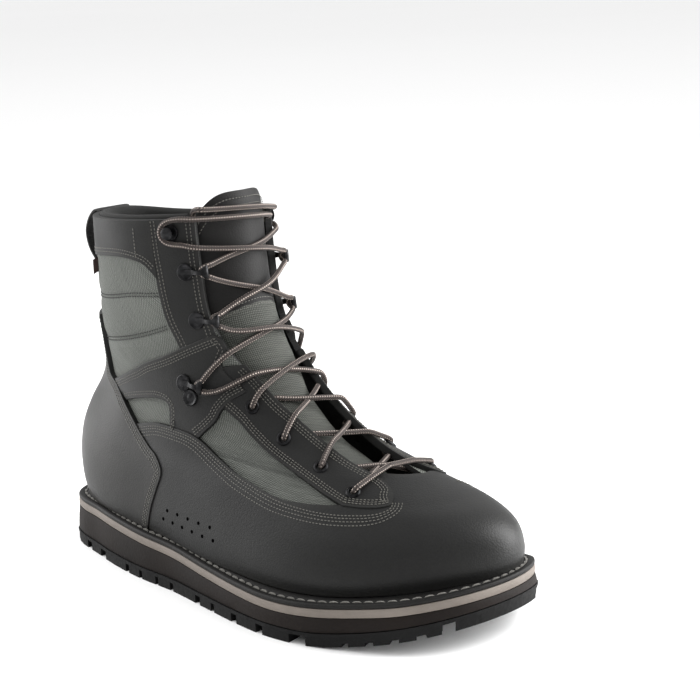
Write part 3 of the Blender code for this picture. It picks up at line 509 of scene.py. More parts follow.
def shifted(places, shift):
    """Places moved sideways, shift mm to the left of their line, along the last's face."""
    step = 0.002
    points, normals = last(places)
    wanted = np.cross(normals, directions(points)) * shift * MM
    by_around = (last_bare(places + (step, 0.0)) - last_bare(places - (step, 0.0))) / (2 * step)
    by_up = (last_bare(places + (0.0, step)) - last_bare(places - (0.0, step))) / (2 * step)
    pairs = (by_around, by_around), (by_up, by_up), (by_around, by_up)
    aa, bb, ab = (np.sum(p * q, axis=1) for p, q in pairs)
    wa, wb = np.sum(wanted * by_around, axis=1), np.sum(wanted * by_up, axis=1)
    scale = np.maximum(aa * bb - ab * ab, 1e-12)
    return places + np.stack(((wa * bb - wb * ab) / scale, (wb * aa - wa * ab) / scale), -1)


def add_stitches(parts, line, out, pitch=2.0, length=1.35, radius=0.31, shift=0.0):
    """A row of stitches on the last along a line of places, shift mm to its left, out mm up."""
    points, normals = last(shifted(curve(line, 400), shift), out)
    add_stitch_row(parts, points, normals, pitch, length, radius)


def add_stitch_row(parts, points, normals, pitch, length, radius):
    """A row of stitches along a line of points: pitch, length and radius in mm."""
    runs = running_lengths(points)
    number = int(runs[-1] / (pitch * MM))
    at = (np.arange(number) + 0.5) * runs[-1] / max(number, 1)
    centre, direction, normal = (np.stack([np.interp(at, runs, a[:, k]) for k in range(3)], -1)
                                 for a in (points, directions(points), normals))
    across = np.cross(normal, direction)
    angles = np.linspace(0, 2 * math.pi, STITCH_SIDES, endpoint=False) + math.pi / 4
    rings = []
    for share, width in STITCH_RINGS:
        low = -STITCH_DIP * (abs(share) * 2) ** 2 * radius * MM
        middle = centre + direction * share * length * MM + normal * low
        for angle in angles:
            rings.append(middle + (across * math.cos(angle) + normal * math.sin(angle)) * width * radius * MM)
    points = np.stack(rings, 1)
    shape = rod_faces(len(STITCH_RINGS), STITCH_SIDES)
    size = STITCH_SIDES * len(STITCH_RINGS)
    faces = [tuple(v + size * k for v in face) for k in range(len(centre)) for face in shape]
    parts.add(points.reshape(-1, 3), faces)


# Materials

def new_group(name, inputs, outputs):
    """A shader node group with named inputs and outputs."""
    group = bpy.data.node_groups.new(name, "ShaderNodeTree")
    for label, kind, value in inputs:
        socket = group.interface.new_socket(label, in_out="INPUT", socket_type=kind)
        if value is not None:
            socket.default_value = value
    for label, kind in outputs:
        group.interface.new_socket(label, in_out="OUTPUT", socket_type=kind)
    return group, group.nodes.new("NodeGroupInput"), group.nodes.new("NodeGroupOutput")


def put(tree, kind, **values):
    """A node with its properties and its input values set by name."""
    node = tree.nodes.new("ShaderNode" + kind)
    for key, value in values.items():
        key = key.replace("_", " ") if key.replace("_", " ") in node.inputs else key
        if key in node.inputs:
            node.inputs[key].default_value = value
        else:
            setattr(node, key, value)
    return node


def blend_colours(tree, factor, first, second, mode="MIX"):
    """Mix of two colours; each may be a socket or a colour."""
    node = tree.nodes.new("ShaderNodeMix")
    node.data_type, node.blend_type = "RGBA", mode
    for index, value in ((0, factor), (6, first), (7, second)):
        if isinstance(value, bpy.types.NodeSocket):
            tree.links.new(value, node.inputs[index])
        else:
            node.inputs[index].default_value = value
    return node.outputs[2]


def calculate(tree, operation, first, second=0.0, third=0.0):
    """Result of a Math node on sockets or numbers."""
    node = tree.nodes.new("ShaderNodeMath")
    node.operation = operation
    for index, value in enumerate((first, second, third)):
        if isinstance(value, bpy.types.NodeSocket):
            tree.links.new(value, node.inputs[index])
        else:
            node.inputs[index].default_value = value
    return node.outputs[0]


def ramp(tree, value, low, high, to_low=0.0, to_high=1.0):
    """Map Range from low-high to to_low-to_high, clamped."""
    node = tree.nodes.new("ShaderNodeMapRange")
    tree.links.new(value, node.inputs["Value"])
    for label, number in (("From Min", low), ("From Max", high), ("To Min", to_low), ("To Max", to_high)):
        if isinstance(number, bpy.types.NodeSocket):
            tree.links.new(number, node.inputs[label])
        else:
            node.inputs[label].default_value = number
    return node.outputs["Result"]


def grain_group():
    """Leather grain: fine pebbles with creases, from the piece's own coordinates."""
    group, enter, leave = new_group("leather grain", (
        ("Pebble Scale", "NodeSocketFloat", 900.0), ("Crease Scale", "NodeSocketFloat", 60.0),
        ("Crease Depth", "NodeSocketFloat", 0.4)),
        (("Height", "NodeSocketFloat"), ("Pores", "NodeSocketFloat")))
    place = put(group, "TexCoord").outputs["Object"]
    pebbles = put(group, "TexVoronoi", feature="SMOOTH_F1", Smoothness=0.35)
    group.links.new(place, pebbles.inputs["Vector"])
    group.links.new(enter.outputs["Pebble Scale"], pebbles.inputs["Scale"])
    creases = put(group, "TexNoise", Detail=6.0, Roughness=0.6)
    group.links.new(place, creases.inputs["Vector"])
    group.links.new(enter.outputs["Crease Scale"], creases.inputs["Scale"])
    folded = calculate(group, "MULTIPLY", creases.outputs["Fac"], enter.outputs["Crease Depth"])
    height = calculate(group, "MULTIPLY_ADD", pebbles.outputs["Distance"], -0.6, folded)
    group.links.new(height, leave.inputs["Height"])
    group.links.new(ramp(group, pebbles.outputs["Distance"], 0.35, 0.75), leave.inputs["Pores"])
    return group


def patches_group():
    """Soft uneven patches, as hands, water and wear leave on leather, rubber and cloth."""
    group, enter, leave = new_group("soft patches", (
        ("Scale", "NodeSocketFloat", 14.0), ("Contrast", "NodeSocketFloat", 0.25)),
        (("Patches", "NodeSocketFloat"),))
    place = put(group, "TexCoord").outputs["Object"]
    noise = put(group, "TexNoise", Detail=4.0, Roughness=0.55)
    group.links.new(place, noise.inputs["Vector"])
    group.links.new(enter.outputs["Scale"], noise.inputs["Scale"])
    low = calculate(group, "SUBTRACT", 0.5, enter.outputs["Contrast"])
    high = calculate(group, "ADD", 0.5, enter.outputs["Contrast"])
    group.links.new(ramp(group, noise.outputs["Fac"], low, high), leave.inputs["Patches"])
    return group


def edge_group():
    """Edge mask of a panel, with the cut edge itself and the worn strip beside it."""
    group, enter, leave = new_group("panel edge", (("Wear", "NodeSocketFloat", 0.5),),
                                    (("Worn", "NodeSocketFloat"), ("Cut", "NodeSocketFloat")))
    mask = put(group, "Attribute", attribute_name="edge").outputs["Fac"]
    noise = put(group, "TexNoise", Scale=160.0, Detail=3.0).outputs["Fac"]
    broken = calculate(group, "MULTIPLY", calculate(group, "MULTIPLY", mask, noise), enter.outputs["Wear"])
    group.links.new(calculate(group, "MULTIPLY", broken, 2.0), leave.inputs["Worn"])
    group.links.new(ramp(group, mask, 0.97, 1.0), leave.inputs["Cut"])
    return group


def weave_group():
    """Plain weave from a piece's lengths: threads over and under, and a Shade for the colour: painted shade
    between the threads, plus uneven slub.
    """
    group, enter, leave = new_group("plain weave", (
        ("Threads", "NodeSocketFloat", 1400.0), ("Slub", "NodeSocketFloat", 0.35)),
        (("Height", "NodeSocketFloat"), ("Shade", "NodeSocketFloat")))
    cut = put(group, "UVMap", uv_map="cut").outputs["UV"]
    # The threads wander a little, so that the weave is never quite even
    wander = put(group, "TexNoise", Scale=170.0, Detail=1.0)
    group.links.new(cut, wander.inputs["Vector"])
    moved = put(group, "VectorMath", operation="MULTIPLY_ADD")
    group.links.new(wander.outputs["Color"], moved.inputs[0])
    moved.inputs[1].default_value = (0.0012, 0.0012, 0.0)
    group.links.new(cut, moved.inputs[2])
    parts = put(group, "SeparateXYZ")
    group.links.new(moved.outputs[0], parts.inputs[0])
    waves = []
    for axis, other in ((0, 1), (1, 0)):
        thread = calculate(group, "MULTIPLY", parts.outputs[axis], enter.outputs["Threads"])
        crossing = calculate(group, "MULTIPLY", parts.outputs[other], enter.outputs["Threads"])
        half_wave = calculate(group, "SINE", calculate(group, "MULTIPLY", thread, math.pi))
        body = calculate(group, "ABSOLUTE", half_wave)
        row = calculate(group, "FLOOR", thread)
        phase = calculate(group, "ADD", crossing, row if axis == 0 else calculate(group, "ADD", row, 1.0))
        over = calculate(group, "SINE", calculate(group, "MULTIPLY", phase, math.pi))
        over = calculate(group, "MULTIPLY_ADD", over, 0.5, 0.5)
        waves.append(calculate(group, "MULTIPLY", body, over))
    height = calculate(group, "MAXIMUM", waves[0], waves[1])
    slub = put(group, "TexNoise", Scale=1.0, Detail=2.0)
    mapping = put(group, "Mapping")
    mapping.inputs["Scale"].default_value = (60.0, 900.0, 1.0)
    group.links.new(cut, mapping.inputs["Vector"])
    group.links.new(mapping.outputs["Vector"], slub.inputs["Vector"])
    uneven = calculate(group, "MULTIPLY", slub.outputs["Fac"], enter.outputs["Slub"])
    group.links.new(height, leave.inputs["Height"])
    # Shade is the threads' height, dark between them as painted shade, plus the yarn's slub
    shade = calculate(group, "ADD", calculate(group, "MULTIPLY", height, 0.8), uneven)
    group.links.new(shade, leave.inputs["Shade"])
    return group


GRAIN, PATCHES, EDGE, WEAVE = grain_group(), patches_group(), edge_group(), weave_group()


def start_material(name, roughness, specular=0.5, metallic=0.0):
    """A new material, with its tree and its Principled shader."""
    material = bpy.data.materials.new(name)
    material.use_nodes = True
    tree = material.node_tree
    shader = tree.nodes["Principled BSDF"]
    shader.inputs["Roughness"].default_value = roughness
    shader.inputs["Specular IOR Level"].default_value = specular
    shader.inputs["Metallic"].default_value = metallic
    return material, tree, shader


def use(tree, group, **values):
    """Place a node group in a material with its own values."""
    node = tree.nodes.new("ShaderNodeGroup")
    node.node_tree = group
    for key, value in values.items():
        node.inputs[key.replace("_", " ")].default_value = value
    return node


def bump(tree, shader, height, strength, distance):
    """Raise a shader's surface by a height."""
    node = put(tree, "Bump", Strength=strength, Distance=distance)
    tree.links.new(height, node.inputs["Height"])
    tree.links.new(node.outputs["Normal"], shader.inputs["Normal"])


def leather_material(name, dark, light, worn, roughness=(0.42, 0.56), pebble=1100.0, depth=0.28):
    """Oiled smooth leather: grain, soft patches and a worn edge."""
    material, tree, shader = start_material(name, roughness[0], specular=0.20)
    grain = use(tree, GRAIN, Pebble_Scale=pebble, Crease_Scale=70.0, Crease_Depth=0.5)
    patches = use(tree, PATCHES, Scale=16.0, Contrast=0.22).outputs["Patches"]
    edge = use(tree, EDGE, Wear=0.15)
    base = blend_colours(tree, patches, dark, light)
    worn_in = blend_colours(tree, edge.outputs["Worn"], base, worn)
    pores = calculate(tree, "MULTIPLY", grain.outputs["Pores"], 0.25)
    speckled = blend_colours(tree, pores, worn_in, tuple(c * 0.5 for c in dark[:3]) + (1.0,))
    colour = blend_colours(tree, edge.outputs["Cut"], speckled, srgb("161615"))
    tree.links.new(colour, shader.inputs["Base Color"])
    tree.links.new(ramp(tree, patches, 0.0, 1.0, roughness[1], roughness[0]), shader.inputs["Roughness"])
    bump(tree, shader, grain.outputs["Height"], depth, 0.0005)
    return material


def cloth_material(name, dark, light, threads, roughness=0.75, depth=0.6):
    """Woven cloth, its colour darkened between the threads by the weave's painted shade."""
    material, tree, shader = start_material(name, roughness, specular=0.35)
    weave = use(tree, WEAVE, Threads=threads, Slub=0.4)
    patches = use(tree, PATCHES, Scale=26.0, Contrast=0.3).outputs["Patches"]
    # The weave's Shade sets the colour: painted shade between the threads, with real slub and soft patches on
    # top
    shade = ramp(tree, weave.outputs["Shade"], 0.35, 0.95)
    tone = calculate(tree, "MULTIPLY_ADD", patches, 0.18, calculate(tree, "MULTIPLY", shade, 0.82))
    tree.links.new(blend_colours(tree, tone, dark, light), shader.inputs["Base Color"])
    bump(tree, shader, weave.outputs["Height"], depth, 0.0004)
    return material


def rubber_material(name, dark, light, roughness=0.6, speck=420.0, depth=0.25, specular=0.4):
    """Matt rubber with a fine skin and soft patches."""
    material, tree, shader = start_material(name, roughness, specular=specular)
    patches = use(tree, PATCHES, Scale=40.0, Contrast=0.3).outputs["Patches"]
    skin = use(tree, GRAIN, Pebble_Scale=speck, Crease_Scale=220.0, Crease_Depth=0.8)
    tree.links.new(blend_colours(tree, patches, dark, light), shader.inputs["Base Color"])
    bump(tree, shader, skin.outputs["Height"], depth, 0.0006)
    return material


def thread_material(name, dark, light):
    """Waxed sewing thread."""
    material, tree, shader = start_material(name, 0.55, specular=0.4)
    patches = use(tree, PATCHES, Scale=900.0, Contrast=0.3).outputs["Patches"]
    tree.links.new(blend_colours(tree, patches, dark, light), shader.inputs["Base Color"])
    return material


def metal_material(name, dark, light, roughness=0.36):
    """Blackened metal, rubbed a little brighter where it is touched."""
    material, tree, shader = start_material(name, roughness, metallic=1.0)
    patches = use(tree, PATCHES, Scale=220.0, Contrast=0.2).outputs["Patches"]
    tree.links.new(blend_colours(tree, patches, dark, light), shader.inputs["Base Color"])
    rubbed = ramp(tree, patches, 0.0, 1.0, roughness + 0.1, roughness - 0.06)
    tree.links.new(rubbed, shader.inputs["Roughness"])
    return material


def lace_material():
    """Round braid, dark brown-grey with two lines of light flecks, and shade painted into the grooves between
    its strands.
    """
    material, tree, shader = start_material("braided lace", 0.7, specular=0.3)
    cut = put(tree, "UVMap", uv_map="cut").outputs["UV"]
    parts = put(tree, "SeparateXYZ")
    tree.links.new(cut, parts.inputs[0])
    around, length = parts.outputs[0], parts.outputs[1]
    turns = calculate(tree, "MULTIPLY", length, LACE_BRAID)
    strands = []
    for way in (1.0, -1.0):
        slant = calculate(tree, "MULTIPLY_ADD", turns, way, calculate(tree, "MULTIPLY", around, 6.0))
        half_wave = calculate(tree, "SINE", calculate(tree, "MULTIPLY", slant, math.pi))
        strands.append(calculate(tree, "ABSOLUTE", half_wave))
    height = calculate(tree, "MULTIPLY", strands[0], strands[1])
    line = calculate(tree, "COSINE", calculate(tree, "MULTIPLY", around, 4 * math.pi))
    on_line = ramp(tree, calculate(tree, "ABSOLUTE", line), 0.84, 0.95)
    fleck = calculate(tree, "SINE", calculate(tree, "MULTIPLY", turns, 2 * math.pi))
    fleck = ramp(tree, fleck, -0.3, 0.5)
    mask = calculate(tree, "MULTIPLY", calculate(tree, "MULTIPLY", on_line, fleck), 0.85)
    # The braid's height sets its colour: darker in the grooves between strands, which is painted shade
    base = blend_colours(tree, height, srgb("1c1817"), srgb("4a413d"))
    tree.links.new(blend_colours(tree, mask, base, srgb("b3a69d")), shader.inputs["Base Color"])
    bump(tree, shader, height, 0.5, 0.0005)
    return material


# Turns of the lace's braid in a metre
LACE_BRAID = 700.0
leather = leather_material("black leather", srgb("121212"), srgb("1a1a19"), srgb("3c3b38"))
# A lighter copy of the black leather for the heel counter: painted light on the heel
heel_leather_painted_light = leather_material("heel leather with painted light", srgb("191918"), srgb("252422"), srgb("403e3b"))
# A darker copy of the black leather for the collar band: painted shade on the band
collar_leather_painted_shade = leather_material("collar leather with painted shade", srgb("0c0c0b"), srgb("121211"), srgb("2a2927"),
                                   (0.56, 0.70))
# A darker copy of the black leather for the tongue's top: painted shade on the tongue in the throat
tongue_leather_painted_shade = leather_material("tongue leather with painted shade", srgb("100f0f"), srgb("181716"), srgb("2a2927"),
                                   (0.54, 0.68))
nylon = cloth_material("grey nylon", srgb("141513"), srgb("747771"), 760.0, depth=0.8)
# A darker copy of the grey nylon for the tongue: painted shade on the tongue in the throat
tongue_nylon_painted_shade = cloth_material("tongue nylon with painted shade", srgb("111210"), srgb("50524c"), 880.0, depth=0.8)
lining = cloth_material("black lining", srgb("141414"), srgb("2a2a29"), 1400.0, roughness=0.9, depth=0.4)
webbing = cloth_material("black webbing", srgb("121212"), srgb("2e2d2c"), 900.0, roughness=0.8)
tag_ribbon = cloth_material("brown ribbon", srgb("170c09"), srgb("35201a"), 1500.0, roughness=0.7)
thread = thread_material("grey thread", srgb("3d3c3a"), srgb("636159"))
dark_thread = thread_material("dark thread", srgb("151614"), srgb("2a2c29"))
welt_thread = thread_material("welt thread", srgb("504e4b"), srgb("8a8883"))
tread_rubber = rubber_material("black tread rubber", srgb("0a0a0a"), srgb("121212"), roughness=0.7, depth=0.5,
                               specular=0.15)
brown_rubber = rubber_material("brown midsole rubber", srgb("110d0b"), srgb("1a1411"), roughness=0.7,
                               speck=700.0, specular=0.15)
greige_rubber = rubber_material("greige stripe rubber", srgb("645d56"), srgb("756d66"), roughness=0.7,
                                speck=700.0)
welt_rubber = rubber_material("black welt", srgb("0e0d0c"), srgb("181716"), roughness=0.6, speck=900.0,
                              specular=0.2)
metal = metal_material("blackened metal", srgb("0e0e0f"), srgb("333334"), roughness=0.42)
lace = lace_material()
# Near-black and matt, with no shine: painted shade inside the eyelets and the punched vent holes
painted_hole_shade = rubber_material("hole", srgb("020202"), srgb("050505"), roughness=1.0, specular=0.0)


# The sole

SOLE_STEPS = 400


def add_layer(parts, section, low_at, high_at):
    """A layer of the sole: section is (share of height, out in mm) up its wall, closed by both faces."""
    turns = np.linspace(0, 2, SOLE_STEPS, endpoint=False)
    rows = []
    for share, out in section:
        plan = rim(turns, np.full(SOLE_STEPS, out * MM))
        low, high = low_at(plan[:, 0]), high_at(plan[:, 0])
        z = low + (high - low) * share
        rows.append(np.column_stack((plan, z)) + HEEL_BACK)
    parts.add(np.concatenate(rows), ring_quads(len(section), SOLE_STEPS))


def midsole_low(x):
    """Height of the midsole's bottom."""
    return ground_line(x) + TREAD + GAP


def midsole_high(x):
    """Height of the midsole's top."""
    return stripe_low(x) - GAP


def stripe_low(x):
    """Height of the stripe's bottom."""
    return stripe_top(x) - STRIPE


def welt_low(x):
    """Height of the welt's bottom."""
    return stripe_top(x) + GAP


def welt_high(x):
    """Height of the welt's top."""
    return stripe_top(x) + WELT


# Sections of the sole's layers from the inside of the bottom to the inside of the top: share of the height,
# and mm out from the outline
MIDSOLE_SECTION = ((0.0, -20.0), (0.0, 0.9), (0.04, 1.2), (0.5, 0.85), (0.97, 0.15), (1.0, 0.0), (1.0, -20.0))
STRIPE_SECTION = ((0.0, -20.0), (0.0, -0.2), (0.1, 0.05), (0.5, 0.2), (0.9, 0.05), (1.0, -0.2), (1.0, -20.0))
WELT_SECTION = ((0.0, -11.9), (0.0, -0.5), (0.12, 0.0), (0.6, 0.15), (0.9, -0.2), (1.0, -0.9), (1.02, -3.0),
                (0.80, -3.6), (0.80, -4.9), (1.02, -5.4), (1.0, -11.9), (0.0, -11.9))
# The welt's stitches, in mm: out from the outline, down from its top, then pitch, length and radius
WELT_SEAM = (-4.2, 0.25, 6.2, 5.2, 0.85)

# Walls that close the gaps between the toe's lugs along the rim: turns at both ends, and height over the
# ground in mm
TREAD_WALLS = ((0.718, 0.862, 1.9), (0.925, 1.075, 0.05))
# Their section: out from the outline in mm, and 0 for the bottom or 1 for the top
WALL_SECTION = ((1.58, 0), (1.58, 1), (-3.0, 1), (-3.0, 0))


def make_tread_walls():
    """Low walls between the lugs at the toe, which leave shallow notches along the tread's edge."""
    parts, steps = Parts(), 60
    for start, end, low in TREAD_WALLS:
        rows = []
        for out, top in WALL_SECTION:
            plan = rim(np.linspace(start, end, steps), np.full(steps, out * MM))
            height = TREAD - GAP if top else low * MM
            rows.append(np.column_stack((plan, ground_line(plan[:, 0]) + height)) + HEEL_BACK)
        parts.add(np.stack(rows, 1), rod_faces(steps, len(WALL_SECTION), flipped=True))
    parts.finish("tread_walls", [tread_rubber], "tread")


def make_sole():
    """Walls of the tread, then midsole, stripe and welt as rounded bands, and the welt's stitches."""
    make_tread_walls()
    for name, section, low_at, high_at, rubber, slot, node in (
            ("midsole_band", MIDSOLE_SECTION, midsole_low, midsole_high, brown_rubber, "midsole", "midsole"),
            ("stripe_band", STRIPE_SECTION, stripe_low, stripe_top, greige_rubber, "stripe",
             "midsole_stripe"),
            ("welt_band", WELT_SECTION, welt_low, welt_high, welt_rubber, "welt", "welt")):
        band = Parts()
        add_layer(band, section, low_at, high_at)
        band.finish(name, [rubber], slot, [node])
    out, down, pitch, length, radius = WELT_SEAM
    turns = np.linspace(0, 2, 2400, endpoint=False)
    plan = rim(turns, np.full(len(turns), out * MM))
    points = np.column_stack((plan, stripe_top(plan[:, 0]) + WELT - down * MM)) + HEEL_BACK
    stitches = Parts()
    add_stitch_row(stitches, points, np.tile((0.0, 0.0, 1.0), (len(points), 1)), pitch, length, radius)
    stitches.finish("welt_stitches", [welt_thread], "welt")


# The upper

NYLON_SEAMS = (
    ((0.50, 0.800), (0.44, 0.802), (0.369, 0.815), (0.32, 0.828), (0.267, 0.845), (0.208, 0.855)),
    ((0.430, 0.640), (0.414, 0.650), (0.36, 0.685), (0.31, 0.720), (0.26, 0.755), (0.208, 0.790)),
)
# Rise in mm of the quilting between the seams, and depth of the seams themselves
QUILT_RISE, SEAM_DEPTH = 0.9, 0.25


def make_upper():
    """Nylon shaft and quarters, quilted between its seams, with the lining inside."""
    rows, columns = 150, 300
    ups = np.linspace(0.0, 1.0, rows)
    share = np.linspace(0, 1, columns)
    half = throat_half(ups)[:, None]
    around = half + (1 - 2 * half) * share[None]
    places = np.stack((around, ups[:, None] * collar_top(around)), -1)
    flat, _ = last(places, np.zeros((rows, columns)))
    seams = list(NYLON_SEAMS) + [mirrored(seam) for seam in NYLON_SEAMS]
    dips = nearness(flat, seams, 4.0)
    puff = QUILT_RISE * np.clip((places[..., 1] - 0.6) / 0.1, 0, 1)
    out = puff * (1 - dips) - SEAM_DEPTH * nearness(flat, seams, 1.2)
    outer, _ = last(places, out)
    lengths = arc_lengths(outer)
    inner, _ = last(places[::3, ::3], np.full(places[::3, ::3].shape[:2], -WALL / MM))
    parts_points = np.concatenate((outer.reshape(-1, 3), inner.reshape(-1, 3)))
    faces = list(grid_quads(rows, columns)) + list(
        grid_quads(*inner.shape[:2], start=rows * columns)[:, ::-1])
    indices = [0] * ((rows - 1) * (columns - 1)) + [1] * ((inner.shape[0] - 1) * (inner.shape[1] - 1))
    uv = np.concatenate((lengths.reshape(-1, 2), arc_lengths(inner).reshape(-1, 2)))
    # The wall is closed along its rim
    rim_outer, _ = boundary(rows, columns)
    rim_places = places.reshape(-1, 2)[rim_outer]
    rim_inner, _ = last(rim_places, np.full(len(rim_outer), -WALL / MM))
    start = len(parts_points)
    parts_points = np.concatenate((parts_points, rim_inner))
    uv = np.concatenate((uv, uv[rim_outer]))
    count = len(rim_outer)
    for k in range(count):
        n = (k + 1) % count
        faces.append((rim_outer[k], start + k, start + n, rim_outer[n]))
        indices.append(1)
    add_mesh("nylon_upper", parts_points, faces, [nylon, lining], ["upper"], indices=indices, uv=uv)


def collar_top(around):
    """Share up of the collar's edge, a little lower on the medial side."""
    medial = np.asarray(around, float) % 1.0
    return 1.0 - 0.022 * np.sin(np.clip((medial - 0.5) / 0.38, 0, 1) * math.pi) ** 2


def stay_height(up):
    """Height of the instep stay above the last in mm: it climbs over the vamp at its toe end."""
    return STAY + 1.1 * np.clip((0.52 - np.asarray(up)) / 0.07, 0, 1)


def make_overlays():
    """Leather overlays on the nylon."""
    for side, word in ((1, "lateral"), (-1, "medial")):
        def turn(line):
            return line if side > 0 else mirrored(line)

        parts = Parts()
        grid = patch(turn(SHAFT_LOW), turn(SHAFT_TOP), turn(SHAFT_FRONT), turn(SHAFT_BACK), 60, 24)
        grid[..., 1] *= collar_top(grid[..., 0])
        add_panel(parts, grid, STAY)
        parts.finish("shaft_stay_" + word, [leather], "leather", ["shaft_eyestay_" + word])

        parts = Parts()
        front, back, toe = ((STAY_FRONT, STAY_BACK, STAY_TOE) if side > 0
                            else (MEDIAL_STAY_FRONT, MEDIAL_STAY_BACK, MEDIAL_STAY_TOE))
        grid = patch(turn(front[::-1]), turn(back[::-1]), turn(toe), turn(STAY_TOP), 24, 70)
        add_panel(parts, grid, stay_height(grid[..., 1]))
        parts.finish("instep_stay_" + word, [leather], "leather", ["instep_eyestay_" + word])

        parts = Parts()
        grid = patch(turn(STRAP_LOW), turn(STRAP_TOP), turn((STRAP_LOW[0], STRAP_TOP[0])), turn(STRAP_END),
                     30, 120, STRAP_PACE, 5)
        lift = STRAP - 1.2 * np.clip((0.50 - grid[..., 1]) / 0.05, 0, 1)
        add_panel(parts, grid, lift)
        parts.finish("ankle_strap_" + word + "_leather", [leather], "leather", ["ankle_strap_" + word])

    parts = Parts()
    rows, columns = 70, 120
    front = curve(COUNTER_FRONT, rows)
    share = np.linspace(0, 1, columns)
    grid = np.stack((front[:, :1] + (1 - 2 * front[:, :1]) * share[None],
                     np.broadcast_to(front[:, 1:], (rows, columns))), -1)
    add_panel(parts, grid, COUNTER)
    parts.finish("counter_leather", [heel_leather_painted_light], "leather", ["heel_counter"])

    parts = Parts()
    rows, columns = 70, 241
    side_line = np.array(COUNTER_FRONT[:7])
    medial_top = VAMP_MEDIAL + mirrored(VAMP_TOP[6:])
    top = np.concatenate((curve(medial_top, 121)[::-1], curve(VAMP_TOP, 121)[1:]))
    side = np.linspace(-1, 1, columns)
    grid = np.zeros((rows, columns, 2))
    for k in range(columns):
        rise = np.linspace(0.005, top[k, 1], rows)
        edge = np.interp(rise, side_line[:, 1], side_line[:, 0]) + 0.006
        reach = np.interp(top[k, 1], side_line[:, 1], side_line[:, 0]) + 0.006
        bottom_at, top_at = side[k] * edge, top[k, 0]
        blend = (np.linspace(0, 1, rows)) ** 1.5
        grid[:, k, 0] = bottom_at * (1 - blend) + top_at * blend * (edge / reach if abs(side[k]) == 1 else 1)
        grid[:, k, 1] = rise
    add_panel(parts, grid, VAMP)
    parts.finish("vamp_leather", [leather], "leather", ["vamp"])

    parts = Parts()
    low = COLLAR_LOW + tuple((1 - a, u) for a, u in reversed(COLLAR_LOW[:-1]))
    high = tuple((a, float(collar_top(a)) - 0.001) for a in np.linspace(0.203, 1 - 0.203, 13))
    grid = patch(low, high, (low[0], high[0]), (low[-1], high[-1]), 24, 180)
    add_panel(parts, grid, COLLAR)
    parts.finish("collar_leather_band", [collar_leather_painted_shade], "leather", ["collar_band"])


# Rows of stitching: the line, the height it lies at in mm, and the shifts of its rows to the left in mm
STITCHED = (
    (COUNTER_FRONT[:-1] + ((0.406, 0.70),), COUNTER, (1.9, 3.4, 4.9)),
    (COUNTER_FRONT[-1:] + ((0.45, 0.738), (0.5, 0.738)), COUNTER, (2.2, 4.4)),
    (VAMP_SEAM, VAMP, (-1.5, -3.0, -4.7, -6.6)),
    (STRAP_TOP, STRAP, (-1.9, -3.4, -4.9)),
    (STRAP_LOW[:9], STRAP, (1.9, 3.4)),
    (STRAP_LOW[10:], STRAP, (1.9, 3.4, 4.9)),
    (STRAP_END[2:], STRAP, (2.0, 4.0)),
    (SHAFT_FRONT, STAY, (2.2, 4.4)),
    (SHAFT_BACK, STAY, (-2.2, -4.4)),
    (COLLAR_LOW[1:], COLLAR, (-2.0, -3.8)),
    (((0.236, 0.925), (0.236, 0.985)), COLLAR, (0.0,)),
)


def make_stitching():
    """The upper's stitching, in three pieces: on the overlays, on the instep stays and on the nylon."""
    parts = Parts()
    for line, out, shifts in STITCHED:
        for shift in shifts:
            add_stitches(parts, line, out + 0.05, shift=shift)
            add_stitches(parts, mirrored(line), out + 0.05, shift=-shift)
    parts.finish("upper_stitching", [thread], "leather")
    parts = Parts()
    for line, side in ((STAY_TOE[::-1] + STAY_FRONT[::-1][1:], 1), (STAY_BACK[1:], 1),
                       (mirrored(MEDIAL_STAY_TOE[::-1] + MEDIAL_STAY_FRONT[::-1][1:]), -1),
                       (mirrored(MEDIAL_STAY_BACK[1:]), -1)):
        for shift in (1.9, 3.4, 4.9):
            add_stitches(parts, line, stay_height(curve(line, 400)[:, 1]) + 0.15, shift=side * shift)
    parts.finish("stay_stitching", [thread], "leather")
    parts = Parts()
    for seam in NYLON_SEAMS:
        for shift in (-0.9, 0.9):
            add_stitches(parts, seam, 0.2, pitch=2.1, length=1.5, radius=0.36, shift=shift)
            add_stitches(parts, mirrored(seam), 0.2, pitch=2.1, length=1.5, radius=0.36, shift=shift)
    parts.finish("nylon_stitching", [dark_thread], "nylon")


# Tongue and collar

TONGUE_LOW, TONGUE_TOP = 0.37, 1.042
# Half the tongue's greatest width as a share around, and the share of its rows that lies under its seam
TONGUE_REACH, TONGUE_SEAM_ROW = 0.14, 0.68
# Half the tongue's width at shares up
TONGUE_HALF = ((0.37, 0.055), (0.42, 0.060), (0.75, 0.140), (1.10, 0.140))
# How far the tongue's face is flattened at shares up
SINK = ((0.37, 0.0), (0.50, 0.0), (0.68, 1.0), (1.10, 1.0))
# Depth in mm by which the tongue's medial side lies under the lateral one, low in the throat
TILT = ((0.37, 0.0), (0.42, 5.0), (0.50, 9.0), (0.62, 8.0), (0.74, 0.0), (1.10, 0.0))


def tongue_height(places):
    """Height in mm of the tongue's face over the last: flatter than the last, tilted low in the throat."""
    half = np.interp(places[..., 1], *zip(*TONGUE_HALF))
    side = np.clip(places[..., 0] / half, -1, 1)
    flat = 3.0 * np.interp(places[..., 1], *zip(*SINK)) * (1 - side ** 2)
    tilt = np.interp(places[..., 1], *zip(*TILT)) * ((1 - side) / 2) ** 1.3
    return -(WALL / MM + 0.5) - flat - tilt


def tongue_top(across):
    """Share up of the tongue's top edge, rounded at its corners; across runs from -1 to 1."""
    return TONGUE_TOP - 0.06 * across ** 4


